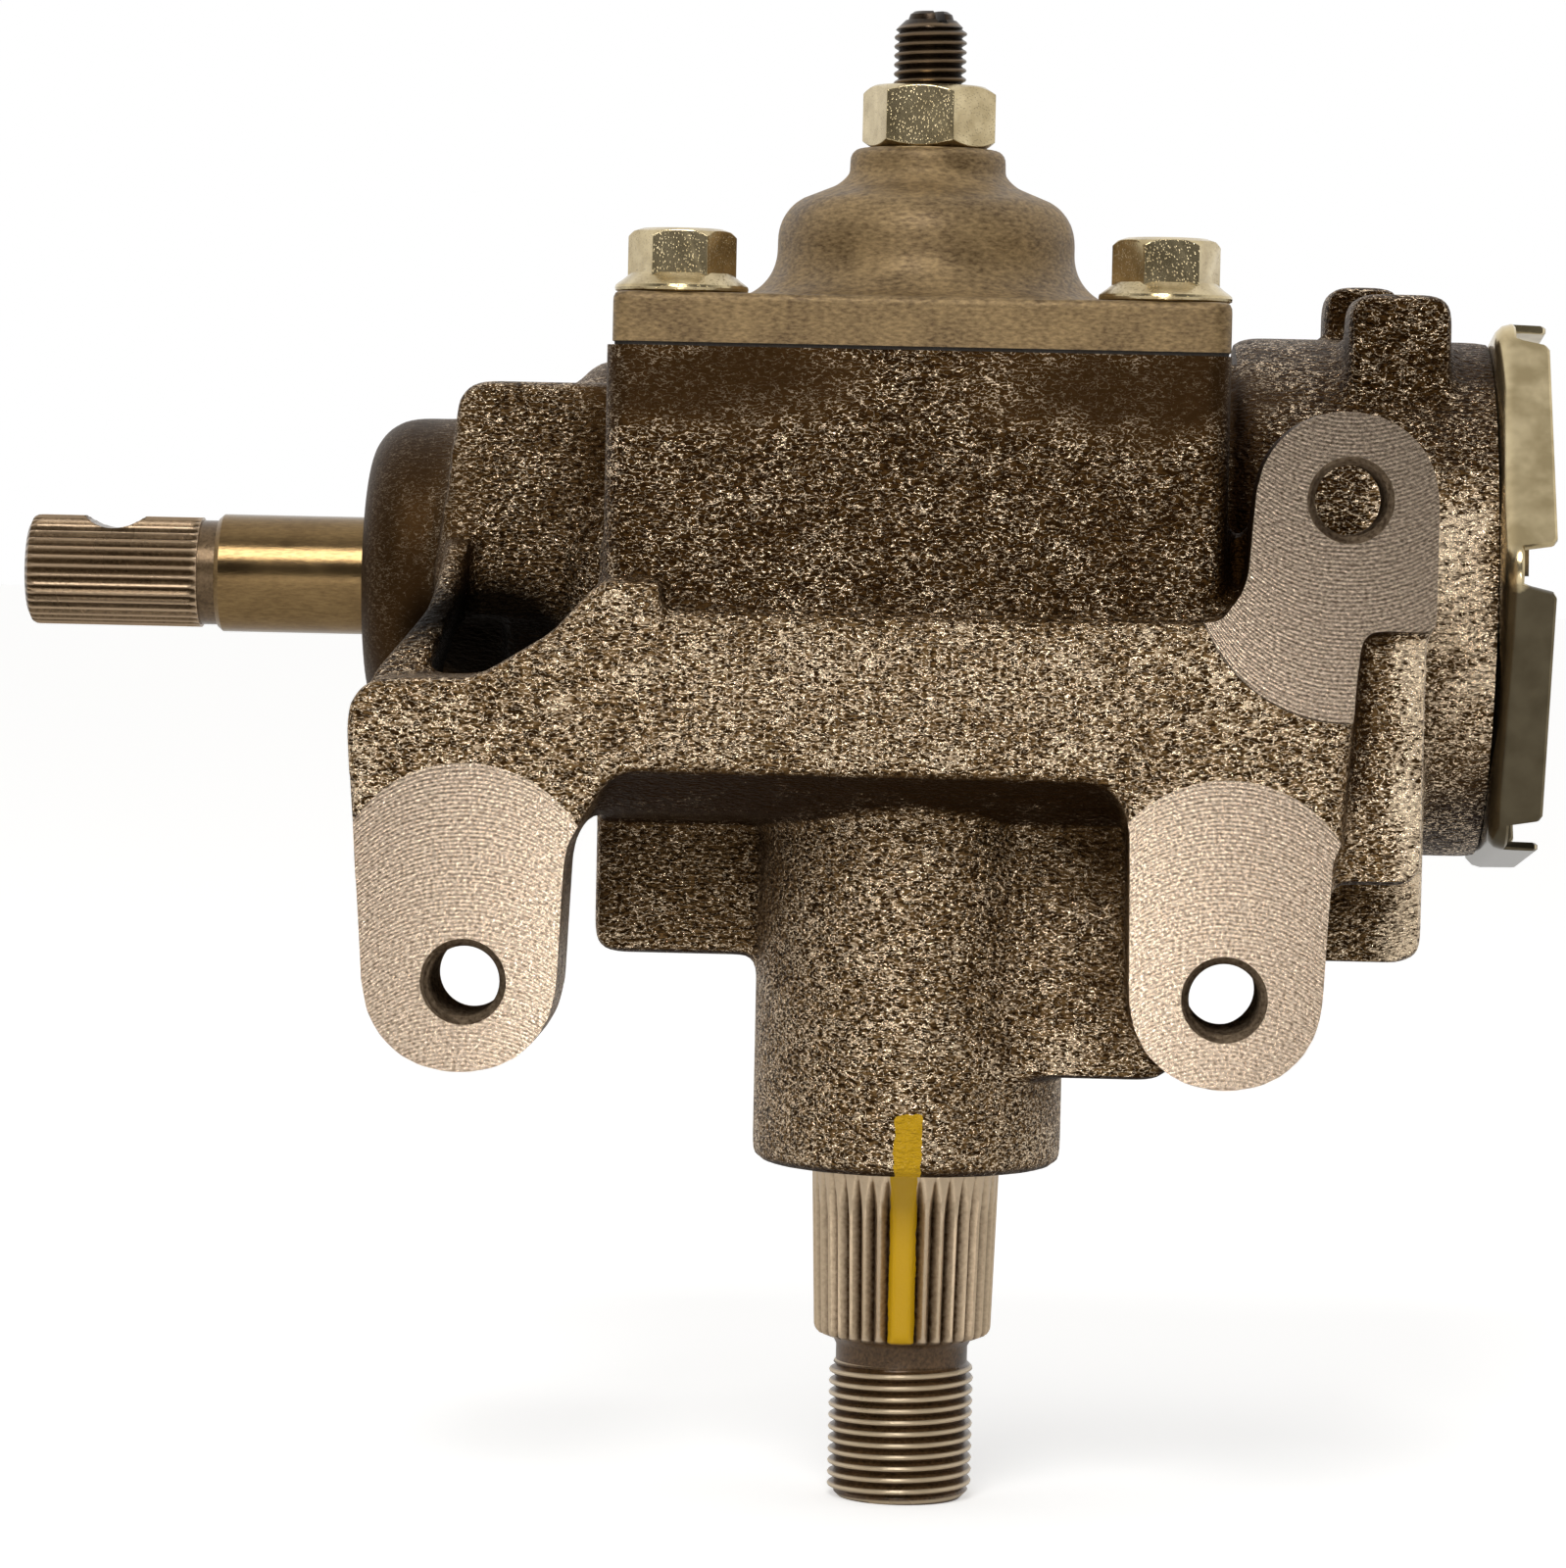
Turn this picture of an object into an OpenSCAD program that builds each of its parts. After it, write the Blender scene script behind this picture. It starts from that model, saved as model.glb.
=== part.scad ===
// Manual steering gearbox with a recirculating-ball worm and a sector shaft.
// Z runs up the sector shaft, X along the worm, and the mounting pads face -Y.
// The origin is on the sector axis, at the lower end of the sector tube.

/* [Layout] */
// Height of the worm axis above the lower end of the sector tube
worm_z = 78.7; // [78:0.1:79.5]
// Distance from the sector axis to the machined mounting pads
pad_depth = 30; // [29:0.5:32]
// Distance from the worm axis up to the face that the side cover is bolted to
cover_rise = 32.8; // [32.6:0.1:34]

/* [Steering mechanism] */
// Turns of the worm for one turn of the sector shaft
ratio = 16; // [15:0.5:18]
// Pitch radius of the sector teeth
sector_pitch_r = 20; // [19.8:0.1:20.2]
// Pressure angle of the sector and rack teeth
pressure_angle = 25; // [24:0.5:26]
// Height of the teeth above the pitch line on the sector
sector_addendum = 3.2; // [2.8:0.1:3.3]
// Height of the teeth above the pitch line on the rack
rack_addendum = 2.8; // [2.5:0.1:3]
// Clearance at the tooth roots
root_clearance = 0.7; // [0.5:0.1:0.9]
// Play between the teeth along the pitch line
backlash = 0.3; // [0.2:0.05:0.5]
// Length of the teeth along the sector shaft
face_width = 24; // [20:1:25]
// Distance from the worm axis to the pitch line of the rack
rack_offset = 21; // [20.8:0.1:21.2]

/* [Worm and ball nut] */
// Diameter of the recirculating balls
ball_d = 5.5; // [5:0.1:5.7]
// Radius of the circle that the ball centres run on
ball_circle_r = 11.2; // [11:0.1:11.4]
// Outer radius of the worm thread
worm_r = 10.4; // [10:0.1:10.5]
// Half the length of the worm thread
worm_half = 33; // [31:1:35]
// Half the length of the ball nut
nut_half = 22; // [21:0.5:23]
// Outer radius of the ball nut
nut_r = 20; // [19:0.5:21]
// Balls in each of the two circuits
circuit_balls = 19; // [14:1:19]
// Clearance around balls in their tracks
track_gap = 0.3; // [0.2:0.05:0.35]

/* [Input shaft] */
// Distance from the sector axis to the tip of the input shaft
input_reach = 129.5; // [125:0.5:135]
// Outer radius of the input serrations
input_spline_r = 7.95; // [7.9:0.05:8.2]
// Length of the input serrations
input_spline_len = 25; // [20:0.5:27]
// Number of input serrations
input_teeth = 36; // [30:1:40]
// Radius of the ground input journal
journal_r = 8.5; // [8.4:0.1:8.8]

/* [Sector shaft] */
// Radius of the shaft in its lower bush
lower_journal_r = 14; // [13.8:0.1:14.2]
// Radius of the shaft in the cover bush
upper_journal_r = 12; // [11.8:0.1:12.2]
// Distance from the cover face to the top of the sector shaft
shaft_rise = 12.5; // [12:0.1:13]
// Radius at the wide end of the arm spline
arm_spline_r = 12.95; // [12.8:0.05:13.1]
// Length of the arm spline below the tube
arm_spline_len = 24; // [20:0.5:26]
// Spline pitches around the shaft, of which four are left uncut
arm_pitches = 36; // [32:4:40]
// Radius of the arm nut thread
arm_thread_r = 10; // [9.8:0.1:10.2]
// Distance from the tube end to the tip of the shaft
arm_reach = 46.5; // [44:0.5:49]

/* [Housing] */
// Outer radius of the sector tube
tube_r = 21.3; // [21:0.1:22]
// Half the width of the sector case
case_half = 42; // [42:0.1:43]
// Distance from the sector axis to the front of the sector case
case_front = 28; // [28:0.1:29]
// Height of the underside of the front band
band_z = 54.3; // [53:0.1:56]
// Height of the top of the front band
band_top = 76; // [75:0.1:77]
// Height of the casting skin in front of the machined pads
skin = 1.5; // [1.2:0.1:2]
// Thickness of the two lower ears behind the pad plane
ear_depth = 19; // [17:0.5:20]
// Thickness of the upper ear behind the pad plane
upper_ear_depth = 13.5; // [12:0.5:15]
// Bore of the worm chamber
chamber_r = 27.5; // [27.3:0.1:28]
// Outer radius of the worm chamber behind the case
chamber_wall_r = 32; // [31.5:0.1:32.3]
// Outer radius of the open end of the worm tube
end_tube_r = 37; // [36.5:0.1:37.5]
// Distance from the sector axis to the open end of the worm tube
end_x = 80; // [79:0.5:82]
// Distance from the sector axis to the face of the input boss
boss_x = 79.8; // [79:0.1:81]
// Outer radius of the input boss
boss_r = 23; // [22:0.5:24]

/* [Mounting holes] */
// Tapping radius of the mounting holes
mount_r = 4.7; // [4.5:0.1:5]
// Radius of the countersink at each mounting hole
mount_chamfer_r = 5.8; // [5.5:0.1:6]
// Distance of the lower left hole from the sector axis
left_hole_x = 59.3; // [58:0.1:61]
// Distance of the lower right hole from the sector axis
right_hole_x = 42.3; // [41:0.1:44]
// Height of both lower holes
low_hole_z = 26; // [25:0.1:27]
// Distance of the upper hole from the sector axis
upper_hole_x = 57.4; // [56.5:0.1:58.5]
// Height of the upper hole
upper_hole_z = 92.8; // [92:0.1:94]
// Radius of the ears around their holes
ear_r = 12.2; // [11.8:0.1:12.6]

/* [Side cover] */
// Thickness of the cover plate
plate_t = 6.7; // [6:0.1:7.5]
// Thickness of the gasket
gasket_t = 0.5; // [0.4:0.1:0.8]
// Distance from the sector axis to each side of the plate
plate_half = 41.3; // [41:0.1:41.6]
// Distance of the front bolts to either side
bolt_x = 32.5; // [32:0.1:33]
// Distance of the front bolts in front of the sector axis
bolt_front = 18.8; // [18:0.1:19]
// Distance of the rear bolt behind the sector axis
bolt_rear = 54; // [53:0.5:55]
// Thread radius of the cover bolts
bolt_r = 4; // [3.9:0.05:4]
// Radius of the dome on the cover
dome_r = 20.4; // [20:0.1:21]
// Distance from the cover face to the top of the cover neck
neck_rise = 28.1; // [27.5:0.1:29]
// Radius of the cover neck
neck_r = 10.7; // [10.4:0.1:11]

/* [Adjusters] */
// Radius of the lash adjuster thread
lash_r = 5; // [4.9:0.05:5.1]
// Distance from the top of the neck to the tip of the lash adjuster
lash_rise = 18.9; // [17:0.1:20]
// Width across flats of the lash lock nut
lash_nut_af = 16; // [15.9:0.1:17]
// Height of the lash lock nut
lash_nut_h = 8.6; // [8:0.1:9]
// Thread radius of the worm bearing adjuster
plug_r = 31; // [30.8:0.1:31.2]
// Distance from the axis to the flats of the adjuster lock nut
lock_flat = 37.3; // [37:0.1:38]
// Length of the bent rim of the adjuster lock nut
lock_rim = 6.4; // [5:0.1:7]

/* [Hidden] */
$fn = 96;
eps = 0.5;
iron = "#4a4036";
steel = "#9a8f80";
zinc = "#c4c2ac";
alloy = "#8a8070";

// Face that the side cover is bolted to
cover_face_z = worm_z + cover_rise;

// Mechanism, with the teeth that a full circle of the sector would have
full_teeth = 12;
worm_y = sector_pitch_r + rack_offset;
module_mm = 2 * sector_pitch_r / full_teeth;
tooth_pitch = PI * module_mm;
tooth_angle = 360 / full_teeth;
tip_r = sector_pitch_r + sector_addendum;
root_r = sector_pitch_r - rack_addendum - root_clearance;
base_r = sector_pitch_r * cos(pressure_angle);
lead = 2 * PI * sector_pitch_r / ratio;
ball_r = ball_d / 2;
groove_r = ball_r + track_gap;
nut_bore_r = 2 * ball_circle_r - worm_r;
gear_z0 = worm_z - face_width / 2;
gear_z1 = worm_z + face_width / 2;
rack_tip_y = sector_pitch_r - rack_addendum;
rack_root_y = sector_pitch_r + sector_addendum + root_clearance;
rack_back_y = worm_y - nut_r / 4;
turn_points = 20;
turn_slices = 12;
// A facet's middle lies this share of its corner radius from the axis
chord_share = cos(180 / turn_slices);

// Back of the ball nut, its return guides and the strap that holds them
nut_back = 16.5;
guide_r = 3.6;
guide_bend = 5;
guide_foot = 1.5;
guide_x = 8;
guide_skew = 20;
guide_span = 8.5;
strap_t = 1.5;
strap_w = 8;
screw_inset = 3.6;
screw_x = nut_half - screw_inset;
screw_r = 2;
screw_head_r = 3;
screw_head_h = 2;
screw_grip = 6;
screw_room = 0.4;
ball_space = 0.1;

// Bearings of the worm, mirrored about the middle of the nut
bearing_x = 47.5;
bearing_ball_r = 3.175;
bearing_circle_r = 12.2;
bearing_balls = 9;
cup_r = 16.5;
cup_x0 = bearing_x - 0.9;
cup_x1 = bearing_x + 6.5;
cup_bore_r = 11.4;
collar_r = 12.4;
collar_x0 = bearing_x - 8;
collar_x1 = bearing_x - 0.2;
race_gap = 0.25;
retainer_x0 = bearing_x + 0.5;
retainer_x1 = bearing_x + 3.8;
retainer_wall = 2.1;
retainer_gap = 0.15;

// Arm spline and thread
arm_taper = 1.8;
arm_groove_depth = 1.15;
arm_groove_width = 1.9;
arm_runout = 3.5;
arm_chamfer = 1.4;
arm_neck_len = 3;
arm_neck_r = arm_thread_r - 0.6;
arm_low_r = arm_spline_r - 0.75;
thread_chamfer = 1.5;

// Input serrations and clamp-bolt notch
input_depth = 0.6;
input_chamfer = 1;
input_neck = 2.8;
notch_r = 5.3;
notch_depth = 1.7;
notch_reach = 13;
worm_core_r = ball_circle_r - groove_r + 1.1;

// Fits and seals
running_gap = 0.04;
shaft_hole_r = journal_r + 0.8;
worm_seal_r = 13;
worm_seal_w = 7;
bush_wall = 2.5;
seal_r = 18;
seal_z0 = 1.5;
seal_z1 = 9;
bush_z0 = 11;
bush_z1 = 58;
case_floor = 63;
hub_r = 19.5;
sweep_r = tip_r + 2.8;
sweep_front = 9;

// Ears
face_y = -pad_depth - skin;
low_ear_y = -pad_depth + ear_depth;
high_ear_y = -pad_depth + upper_ear_depth;
cutter_r = 18;
cutter_rise = 11.4;
upper_cutter_r = 20.5;
upper_cutter_drop = 9.2;
arm_top = band_z + 12.5;
band_step = 0.8;
bearing_front = worm_y - 29;
pocket_z = worm_z - 5;
rib_x = 68.2;
rib_z = 41.5;
web_y = -16;
web_z = 13.5;
lug_z = 28.2;
top_lug_x = 59.2;
top_lug_w = 14.5;
top_lug_z = worm_z + 43;
boss_round = 7;
barrel_x = 53;
end_tube_x = case_half + 1.2;

// Cover
shaft_top_z = cover_face_z + shaft_rise;
neck_top = cover_face_z + neck_rise;
lash_top = neck_top + lash_rise;
gasket_z = cover_face_z + gasket_t;
plate_z = gasket_z + plate_t;
plate_corner = 2.5;
plate_shoulder = -6;
rear_r = 10;
cover_bolts_at = [[-bolt_x, -bolt_front], [bolt_x, -bolt_front], [0, bolt_rear]];
front_thread = 16;
rear_thread = 8;
cover_bush_wall = 2.2;
dome_floor = shaft_top_z + 2.5;
flange_r = 9;
flange_h = 2.3;
flange_rim = 1.1;
bolt_gap = 0.25;
bolt_turns = [0, 5.5, 15];
lash_nut_turn = -8;
gasket_inset = 0.3;
bolt_af = 12.7;
flange_top_r = 7.7;
bolt_head_h = 6.3;

// Lash adjuster, its head and the slot that holds it
head_r = 7.6;
head_h = 4;
shim_h = 1.4;
lash_chamfer = 1.4;
lash_tip_h = 1.2;
lash_tip_r = lash_r - 1.9;
lash_slot_w = 1.4;
lash_slot_depth = 1.8;
slot_gap = 0.3;
slot_z0 = shaft_top_z - 9;
slot_z1 = slot_z0 + head_h + shim_h + 2 * slot_gap;

// Worm bearing adjuster and its lock nut
plug_nose_r = 21;
plug_thread_x = 58;
plug_end_x = end_x + 4.6;
plug_wall = 5;
plug_recess = 12;
plug_floor_x = plug_thread_x + 6;
plug_slot_w = 8;
plug_slot_depth = 5;
lock_x0 = end_x + 0.1;
lock_sheet = 1.2;
lock_tilt = -7.5;
lock_notch = 7.8;
lock_low = 3;
lock_lip = 4;

function polar(r, a) = [r * cos(a), r * sin(a)];
function arc(c, r, a0, a1, n = 8) = [for (i = [0 : n]) c + polar(r, a0 + (a1 - a0) * i / n)];
function involute(a) = tan(a) * 180 / PI - a;
// Half the angle that a sector tooth spans at radius r
function tooth_half(r) = (tooth_pitch / 2 - backlash / 2) / sector_pitch_r * 90 / PI
    + involute(pressure_angle) - involute(acos(min(1, base_r / r)));
// Distance along the worm between the plane of a section and the groove at angle a
function groove_run(a) = lead * a / 360;
function groove_rise(a) = sqrt(max(0, groove_r * groove_r - groove_run(a) * groove_run(a)));
// Direction, from the centre of a circle, of the point where a line from p touches it
function touch_angle(p, c, r, side) =
    let (d = p - c)
    atan2(d[1], d[0]) + side * acos(r / norm(d));

// Outline with each corner [x, y, r] rounded to its own radius
function unit(v) = v / norm(v);
function corner(p, q, s, r, n = 5) =
    let (a = unit(p - q), b = unit(s - q), half = acos(a * b) / 2, c = q + unit(a + b) * r / sin(half))
    let (from = q + a * r / tan(half) - c, to = q + b * r / tan(half) - c)
    let (a0 = atan2(from[1], from[0]), turn = atan2(to[1], to[0]) - a0)
    let (sweep = turn > 180 ? turn - 360 : turn < -180 ? turn + 360 : turn)
    arc(c, r, a0, a0 + sweep, n);
function flat(p) = [p[0], p[1]];
function rounded(pts) = [for (i = [0 : len(pts) - 1])
    let (n = len(pts), p = flat(pts[(i + n - 1) % n]), q = flat(pts[i]), s = flat(pts[(i + 1) % n]))
    each pts[i][2] > 0 ? corner(p, q, s, pts[i][2]) : [q]];

module post(z0, z1, r) {
    translate([0, 0, z0]) cylinder(h = z1 - z0, r = r);
}

module along_worm(x) {
    translate([x, worm_y, worm_z]) rotate([0, 90, 0]) children();
}

module worm_rod(x0, x1, r) {
    along_worm(x0) cylinder(h = x1 - x0, r = r);
}

module block(p, q) {
    translate(p) cube(q - p);
}

// A slab between two depths whose outline is drawn as seen from the front
module front_slab(y0, y1) {
    translate([0, y1, 0]) rotate([90, 0, 0]) linear_extrude(height = y1 - y0) children();
}

module front_hole(x, z, r, depth) {
    translate([x, -pad_depth - eps, z]) rotate([-90, 0, 0]) cylinder(h = depth + eps, r = r);
}

module hexagon(af) {
    circle(d = af / cos(30), $fn = 6);
}

module mount_hole(x, z, depth) {
    front_hole(x, z, mount_r, depth);
    translate([x, -pad_depth, z]) rotate([-90, 0, 0])
        cylinder(h = mount_chamfer_r - mount_r, r1 = mount_chamfer_r, r2 = mount_r);
}

// Milled pad: the cutter stops with its centre a little way from the hole
module pad_cut(x, z, r, reach_x, reach_z0, reach_z1) {
    front_slab(face_y - eps, -pad_depth) {
        translate([x, z]) circle(r = r);
        translate([x - reach_x, reach_z0]) square([2 * reach_x, reach_z1 - reach_z0]);
    }
}

module cover_outline(grow) {
    side = plate_half + grow;
    front = -case_front - grow;
    c = plate_corner;
    r = rear_r + grow;
    rear = [0, bolt_rear];
    right = [side, plate_shoulder];
    turn = touch_angle(right, rear, r, 1);
    polygon(concat(
        arc([-side + c, front + c], c, 180, 270, 4),
        arc([side - c, front + c], c, 270, 360, 4),
        [right], arc(rear, r, turn, 180 - turn, 16), [[-side, plate_shoulder]]));
}

// Left ear and the arm that carries it, rising to the side of the case
module left_arm() {
    x = -left_hole_x;
    side = -case_half;
    front_slab(face_y, low_ear_y) polygon(rounded([
        [x - ear_r - 0.6, low_hole_z - ear_r, ear_r], [x + ear_r - 0.2, low_hole_z - ear_r, ear_r],
        [x + 13.4, band_z - 10, 6], [side + 2, band_z, 5], [side + 8, band_z, 0],
        [side + 8, band_top + 4, 0], [side, band_top + 4, 2], [x + 11, band_top - 3, 6],
        [x + 1, arm_top, 8], [x - 15.5, arm_top - 0.5, 5], [x - 16.2, arm_top - 7, 4]]));
}

// Right ear, the column above it and the thin web that ties it to the sector tube
// Thin web that closes the pocket between the left arm and the upper bearing
module pocket_web() {
    x = -left_hole_x;
    top = worm_z + 6;
    low = arm_top - 9;
    intersection() {
        front_slab(low_ear_y - 5, bearing_front + 2) polygon(rounded([
            [x - 15, low, 0], [x - 6, low, 0], [x - 7.6, arm_top - 1, 4], [x - 4.5, arm_top + 8, 6],
            [x - 3.5, top, 0], [x - 7, top, 0], [x - 8, arm_top + 8.5, 6], [x - 15, arm_top - 1, 6]]));
        side_slab(x - 20, x) polygon([
            [low_ear_y - 6, low - 1], [low_ear_y - 6, arm_top - 2], [bearing_front - 2, top + 1],
            [bearing_front + 3, top + 1], [bearing_front + 3, low - 1]]);
    }
}
// Sloped underside, from the band back to the tube, the web and the left lug
module band_cove() {
    side_slab(-case_half - 1, right_hole_x - 8) polygon([
        [-case_front - 0.5, band_z + 2.5], [-case_front - 0.5, band_z - 0.4],
        [-case_front + 4, band_z - 3], [-tube_r + 2, band_z - 5.4], [-7, band_z - 7.2],
        [0, band_z - 7.6], [0, band_z + 2.5]]);
}
module right_column() {
    x = right_hole_x;
    front_slab(face_y, low_ear_y) polygon(rounded([
        [x - ear_r - 0.3, low_hole_z - ear_r, ear_r], [x + ear_r + 0.4, low_hole_z - ear_r, ear_r],
        [x + 14.2, band_z - 4, 6], [x + 14.6, band_top, 0], [x - 14, band_top, 0],
        [x - 13.2, band_z - 6, 6]]));
    front_slab(-pad_depth + 3, 12) polygon(rounded([
        [x - 14, band_z - 3, 4], [x + 14, band_z - 3, 0], [x + 14, rib_z, 0], [rib_x, rib_z, 3],
        [rib_x, band_top, 2], [x - 14, band_top, 0]]));
    front_slab(web_y, web_y + 11) polygon(rounded([
        [0, web_z, 0], [x - 6, web_z, 4], [x - 6, band_z + 4, 0], [0, band_z + 4, 0]]));
}

// Upper ear beside the case, with its spot-faced pad running down onto the band
module upper_ear() {
    x = upper_hole_x;
    r = ear_r - 0.4;
    front_slab(face_y, high_ear_y) polygon(rounded([
        [x - r, upper_hole_z + r, r], [x + r, upper_hole_z + r, r], [x + r, band_top - 0.5, 0],
        [x + 1, band_top - 0.5, 1], [x + 0.4, band_z + 6, 0], [x - 22, band_z + 6, 0],
        [x - 22, band_top, 0], [x - 17, band_top, 2], [x - 13.5, band_top + 5, 6]]));
    front_slab(-case_front + 6, high_ear_y + 14) polygon(rounded([
        [case_half - 8, band_top - 8, 0], [x + 8, band_top - 8, 0], [x + 8, band_top + 6, 5],
        [case_half, band_top + 12, 6], [case_half - 8, band_top + 12, 0]]));
}

// Turned envelope of the worm tube: input boss, chamber, and the wide open end
module worm_barrel() {
    along_worm(0) rotate_extrude() polygon(rounded([
        [0, -boss_x, 0], [boss_r, -boss_x, boss_round], [boss_r, -barrel_x + 3, 3],
        [chamber_wall_r, -barrel_x, 6], [chamber_wall_r, end_tube_x - 1, 3],
        [end_tube_r, end_tube_x, 4], [end_tube_r, end_x, 1], [0, end_x, 0]]));
}

// Turned envelope of the sector tube, flaring into the case above
module side_slab(x0, x1) {
    translate([x0, 0, 0]) rotate([90, 0, 90]) linear_extrude(height = x1 - x0) children();
}
module sector_barrel() {
    rotate_extrude() polygon(rounded([
        [0, 0, 0], [tube_r, 0, 1.6], [tube_r, band_z - 5, 6], [tube_r + 5, band_z + 3, 0],
        [tube_r + 5, case_floor, 0], [0, case_floor, 0]]));
}

// Case around the sector teeth, as tall as the cover face
module sector_case() {
    translate([0, 0, band_z + 2]) linear_extrude(height = cover_face_z - band_z - 2) polygon(rounded([
        [-case_half, -case_front, 3], [case_half - 0.6, -case_front, 3],
        [case_half - 0.6, worm_y - 8, 0], [-case_half, worm_y - 8, 0]]));
    translate([0, 0, worm_z]) linear_extrude(height = cover_face_z - worm_z) cover_outline(0);
}

// Front band across the case, which joins the two lower ears
module front_band() {
    front_slab(face_y + band_step, low_ear_y) polygon(rounded([
        [-case_half - 4, band_z, 0], [right_hole_x - 14, band_z, 6], [right_hole_x - 13, band_z - 8, 0],
        [upper_hole_x, band_z - 8, 0], [upper_hole_x + 2, band_top, 0], [-case_half - 2, band_top, 3]]));
}

// Squared end of the casting around the upper bearing
module bearing_block() {
    top = worm_z + 28.2;
    left = -left_hole_x - 9;
    right = -case_half + 4;
    back = worm_y - 15;
    // The front of the block ends over the pocket, and its back runs down beside the worm
    front_slab(bearing_front, back) polygon(rounded([
        [left + 3.4, top, 4], [right, top, 0], [right, pocket_z, 0], [left, pocket_z, 4],
        [left, worm_z, 0]]));
    front_slab(back - 1, worm_y + 25) polygon(rounded([
        [left + 3.4, top, 4], [right, top, 0], [right, worm_z - 28, 0], [left, worm_z - 28, 5],
        [left, worm_z, 0]]));
    front_slab(low_ear_y - 6, worm_y - 20) polygon(rounded([
        [-case_half - 1, band_z, 3], [-case_half + 10, band_z, 0], [-case_half + 10, worm_z + 18, 0],
        [-case_half - 1, worm_z + 8, 6]]));
}

// Fixture lugs, used to hold the casting while it is machined
module lugs() {
    r = 3;
    left = -case_half - 1.7;
    right = rib_x + 2.3;
    width = 22;
    front_slab(-3, 17) polygon(rounded([
        [left, lug_z, r], [-tube_r / 2, lug_z, 0], [-tube_r / 2, case_floor, 0], [left, case_floor, 0]]));
    front_slab(2, 28) polygon(rounded([
        [right - width, lug_z + 0.8, r], [right, lug_z + 0.8, r], [right, worm_z - tube_r, 0],
        [right - width, worm_z - tube_r, 0]]));
    front_slab(worm_y - 24, worm_y - 9) polygon(rounded([
        [top_lug_x, worm_z, 0], [top_lug_x, top_lug_z, r], [top_lug_x + top_lug_w, top_lug_z, r],
        [top_lug_x + top_lug_w, worm_z, 0]]));
    front_slab(worm_y + 4, worm_y + 17) polygon(rounded([
        [top_lug_x - 2, worm_z, 0], [top_lug_x - 2, top_lug_z + 1.8, r],
        [top_lug_x + 9.2, top_lug_z + 1.8, r], [top_lug_x + 9.2, worm_z, 0]]));
}

// Cast shape before any machining
module casting() {
    sector_barrel();
    worm_barrel();
    sector_case();
    front_band();
    bearing_block();
    left_arm();
    pocket_web();
    band_cove();
    right_column();
    upper_ear();
    lugs();
}

module cover_bolt_holes(r, z0, z1) {
    for (p = cover_bolts_at) translate([p[0], p[1], z0]) cylinder(h = z1 - z0, r = r);
}

module gear_housing() {
    color(iron) difference() {
        casting();
        // Sector chamber, tube bore and seal seat
        post(case_floor, cover_face_z + eps, hub_r);
        intersection() {
            post(case_floor, cover_face_z + eps, sweep_r);
            block([-sweep_r, -sweep_front, case_floor], [sweep_r, worm_y, cover_face_z + eps]);
        }
        post(-eps, case_floor + eps, lower_journal_r + bush_wall);
        post(-eps, seal_z1, seal_r);
        // Worm chamber, adjuster thread, upper cup seat, shaft hole and seal seat
        worm_rod(-collar_x0 - eps, end_x + eps, chamber_r);
        worm_rod(plug_thread_x - 1, end_x + eps, plug_r);
        worm_rod(-cup_x1, 0, cup_r);
        worm_rod(-boss_x - eps, 0, shaft_hole_r);
        worm_rod(-boss_x - eps, -boss_x + worm_seal_w + eps, worm_seal_r);
        // Cover bolt threads
        for (i = [0 : 2]) {
            depth = i < 2 ? front_thread : rear_thread;
            translate([cover_bolts_at[i][0], cover_bolts_at[i][1], cover_face_z - depth])
                cylinder(h = depth + eps, r = bolt_r);
        }
        // Milled pads and mounting holes
        pad_cut(-left_hole_x, low_hole_z + cutter_rise, cutter_r, cutter_r, 0, low_hole_z + cutter_rise);
        pad_cut(right_hole_x, low_hole_z + cutter_rise, cutter_r, cutter_r, 0, low_hole_z + cutter_rise);
        pad_cut(upper_hole_x, upper_hole_z - upper_cutter_drop, upper_cutter_r, upper_cutter_r,
            upper_hole_z - upper_cutter_drop, cover_face_z);
        mount_hole(-left_hole_x, low_hole_z, ear_depth + eps);
        mount_hole(right_hole_x, low_hole_z, ear_depth + eps);
        mount_hole(upper_hole_x, upper_hole_z, upper_ear_depth + eps);
    }
}

module side_cover() {
    flare = plate_z + 6.6;
    shoulder = 6.5;
    color(alloy) difference() {
        union() {
            translate([0, 0, gasket_z]) linear_extrude(height = plate_t) cover_outline(0);
            rotate_extrude() polygon(concat(
                [[0, plate_z - 1], [dome_r + 6.6, plate_z - 1]],
                arc([dome_r + 6.6, flare], 6.6, 270, 180),
                arc([dome_r - shoulder, flare + 1.6], shoulder, 0, 60),
                [[neck_r + 1.6, flare + 2.7 + shoulder], [neck_r, flare + 4.2 + shoulder],
                [neck_r, neck_top - 1], [neck_r - 1, neck_top], [0, neck_top]]));
        }
        post(gasket_z - eps, dome_floor - 2, upper_journal_r + cover_bush_wall);
        post(gasket_z - eps, dome_floor, upper_journal_r);
        post(gasket_z - eps, neck_top + eps, lash_r);
        cover_bolt_holes(bolt_r + bolt_gap, gasket_z - eps, plate_z + eps);
    }
}

module cover_gasket() {
    color("#2a2622") difference() {
        translate([0, 0, cover_face_z]) linear_extrude(height = gasket_t) cover_outline(-gasket_inset);
        post(cover_face_z - eps, gasket_z + eps, sweep_r);
        cover_bolt_holes(bolt_r + bolt_gap, cover_face_z - eps, gasket_z + eps);
    }
}

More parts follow.
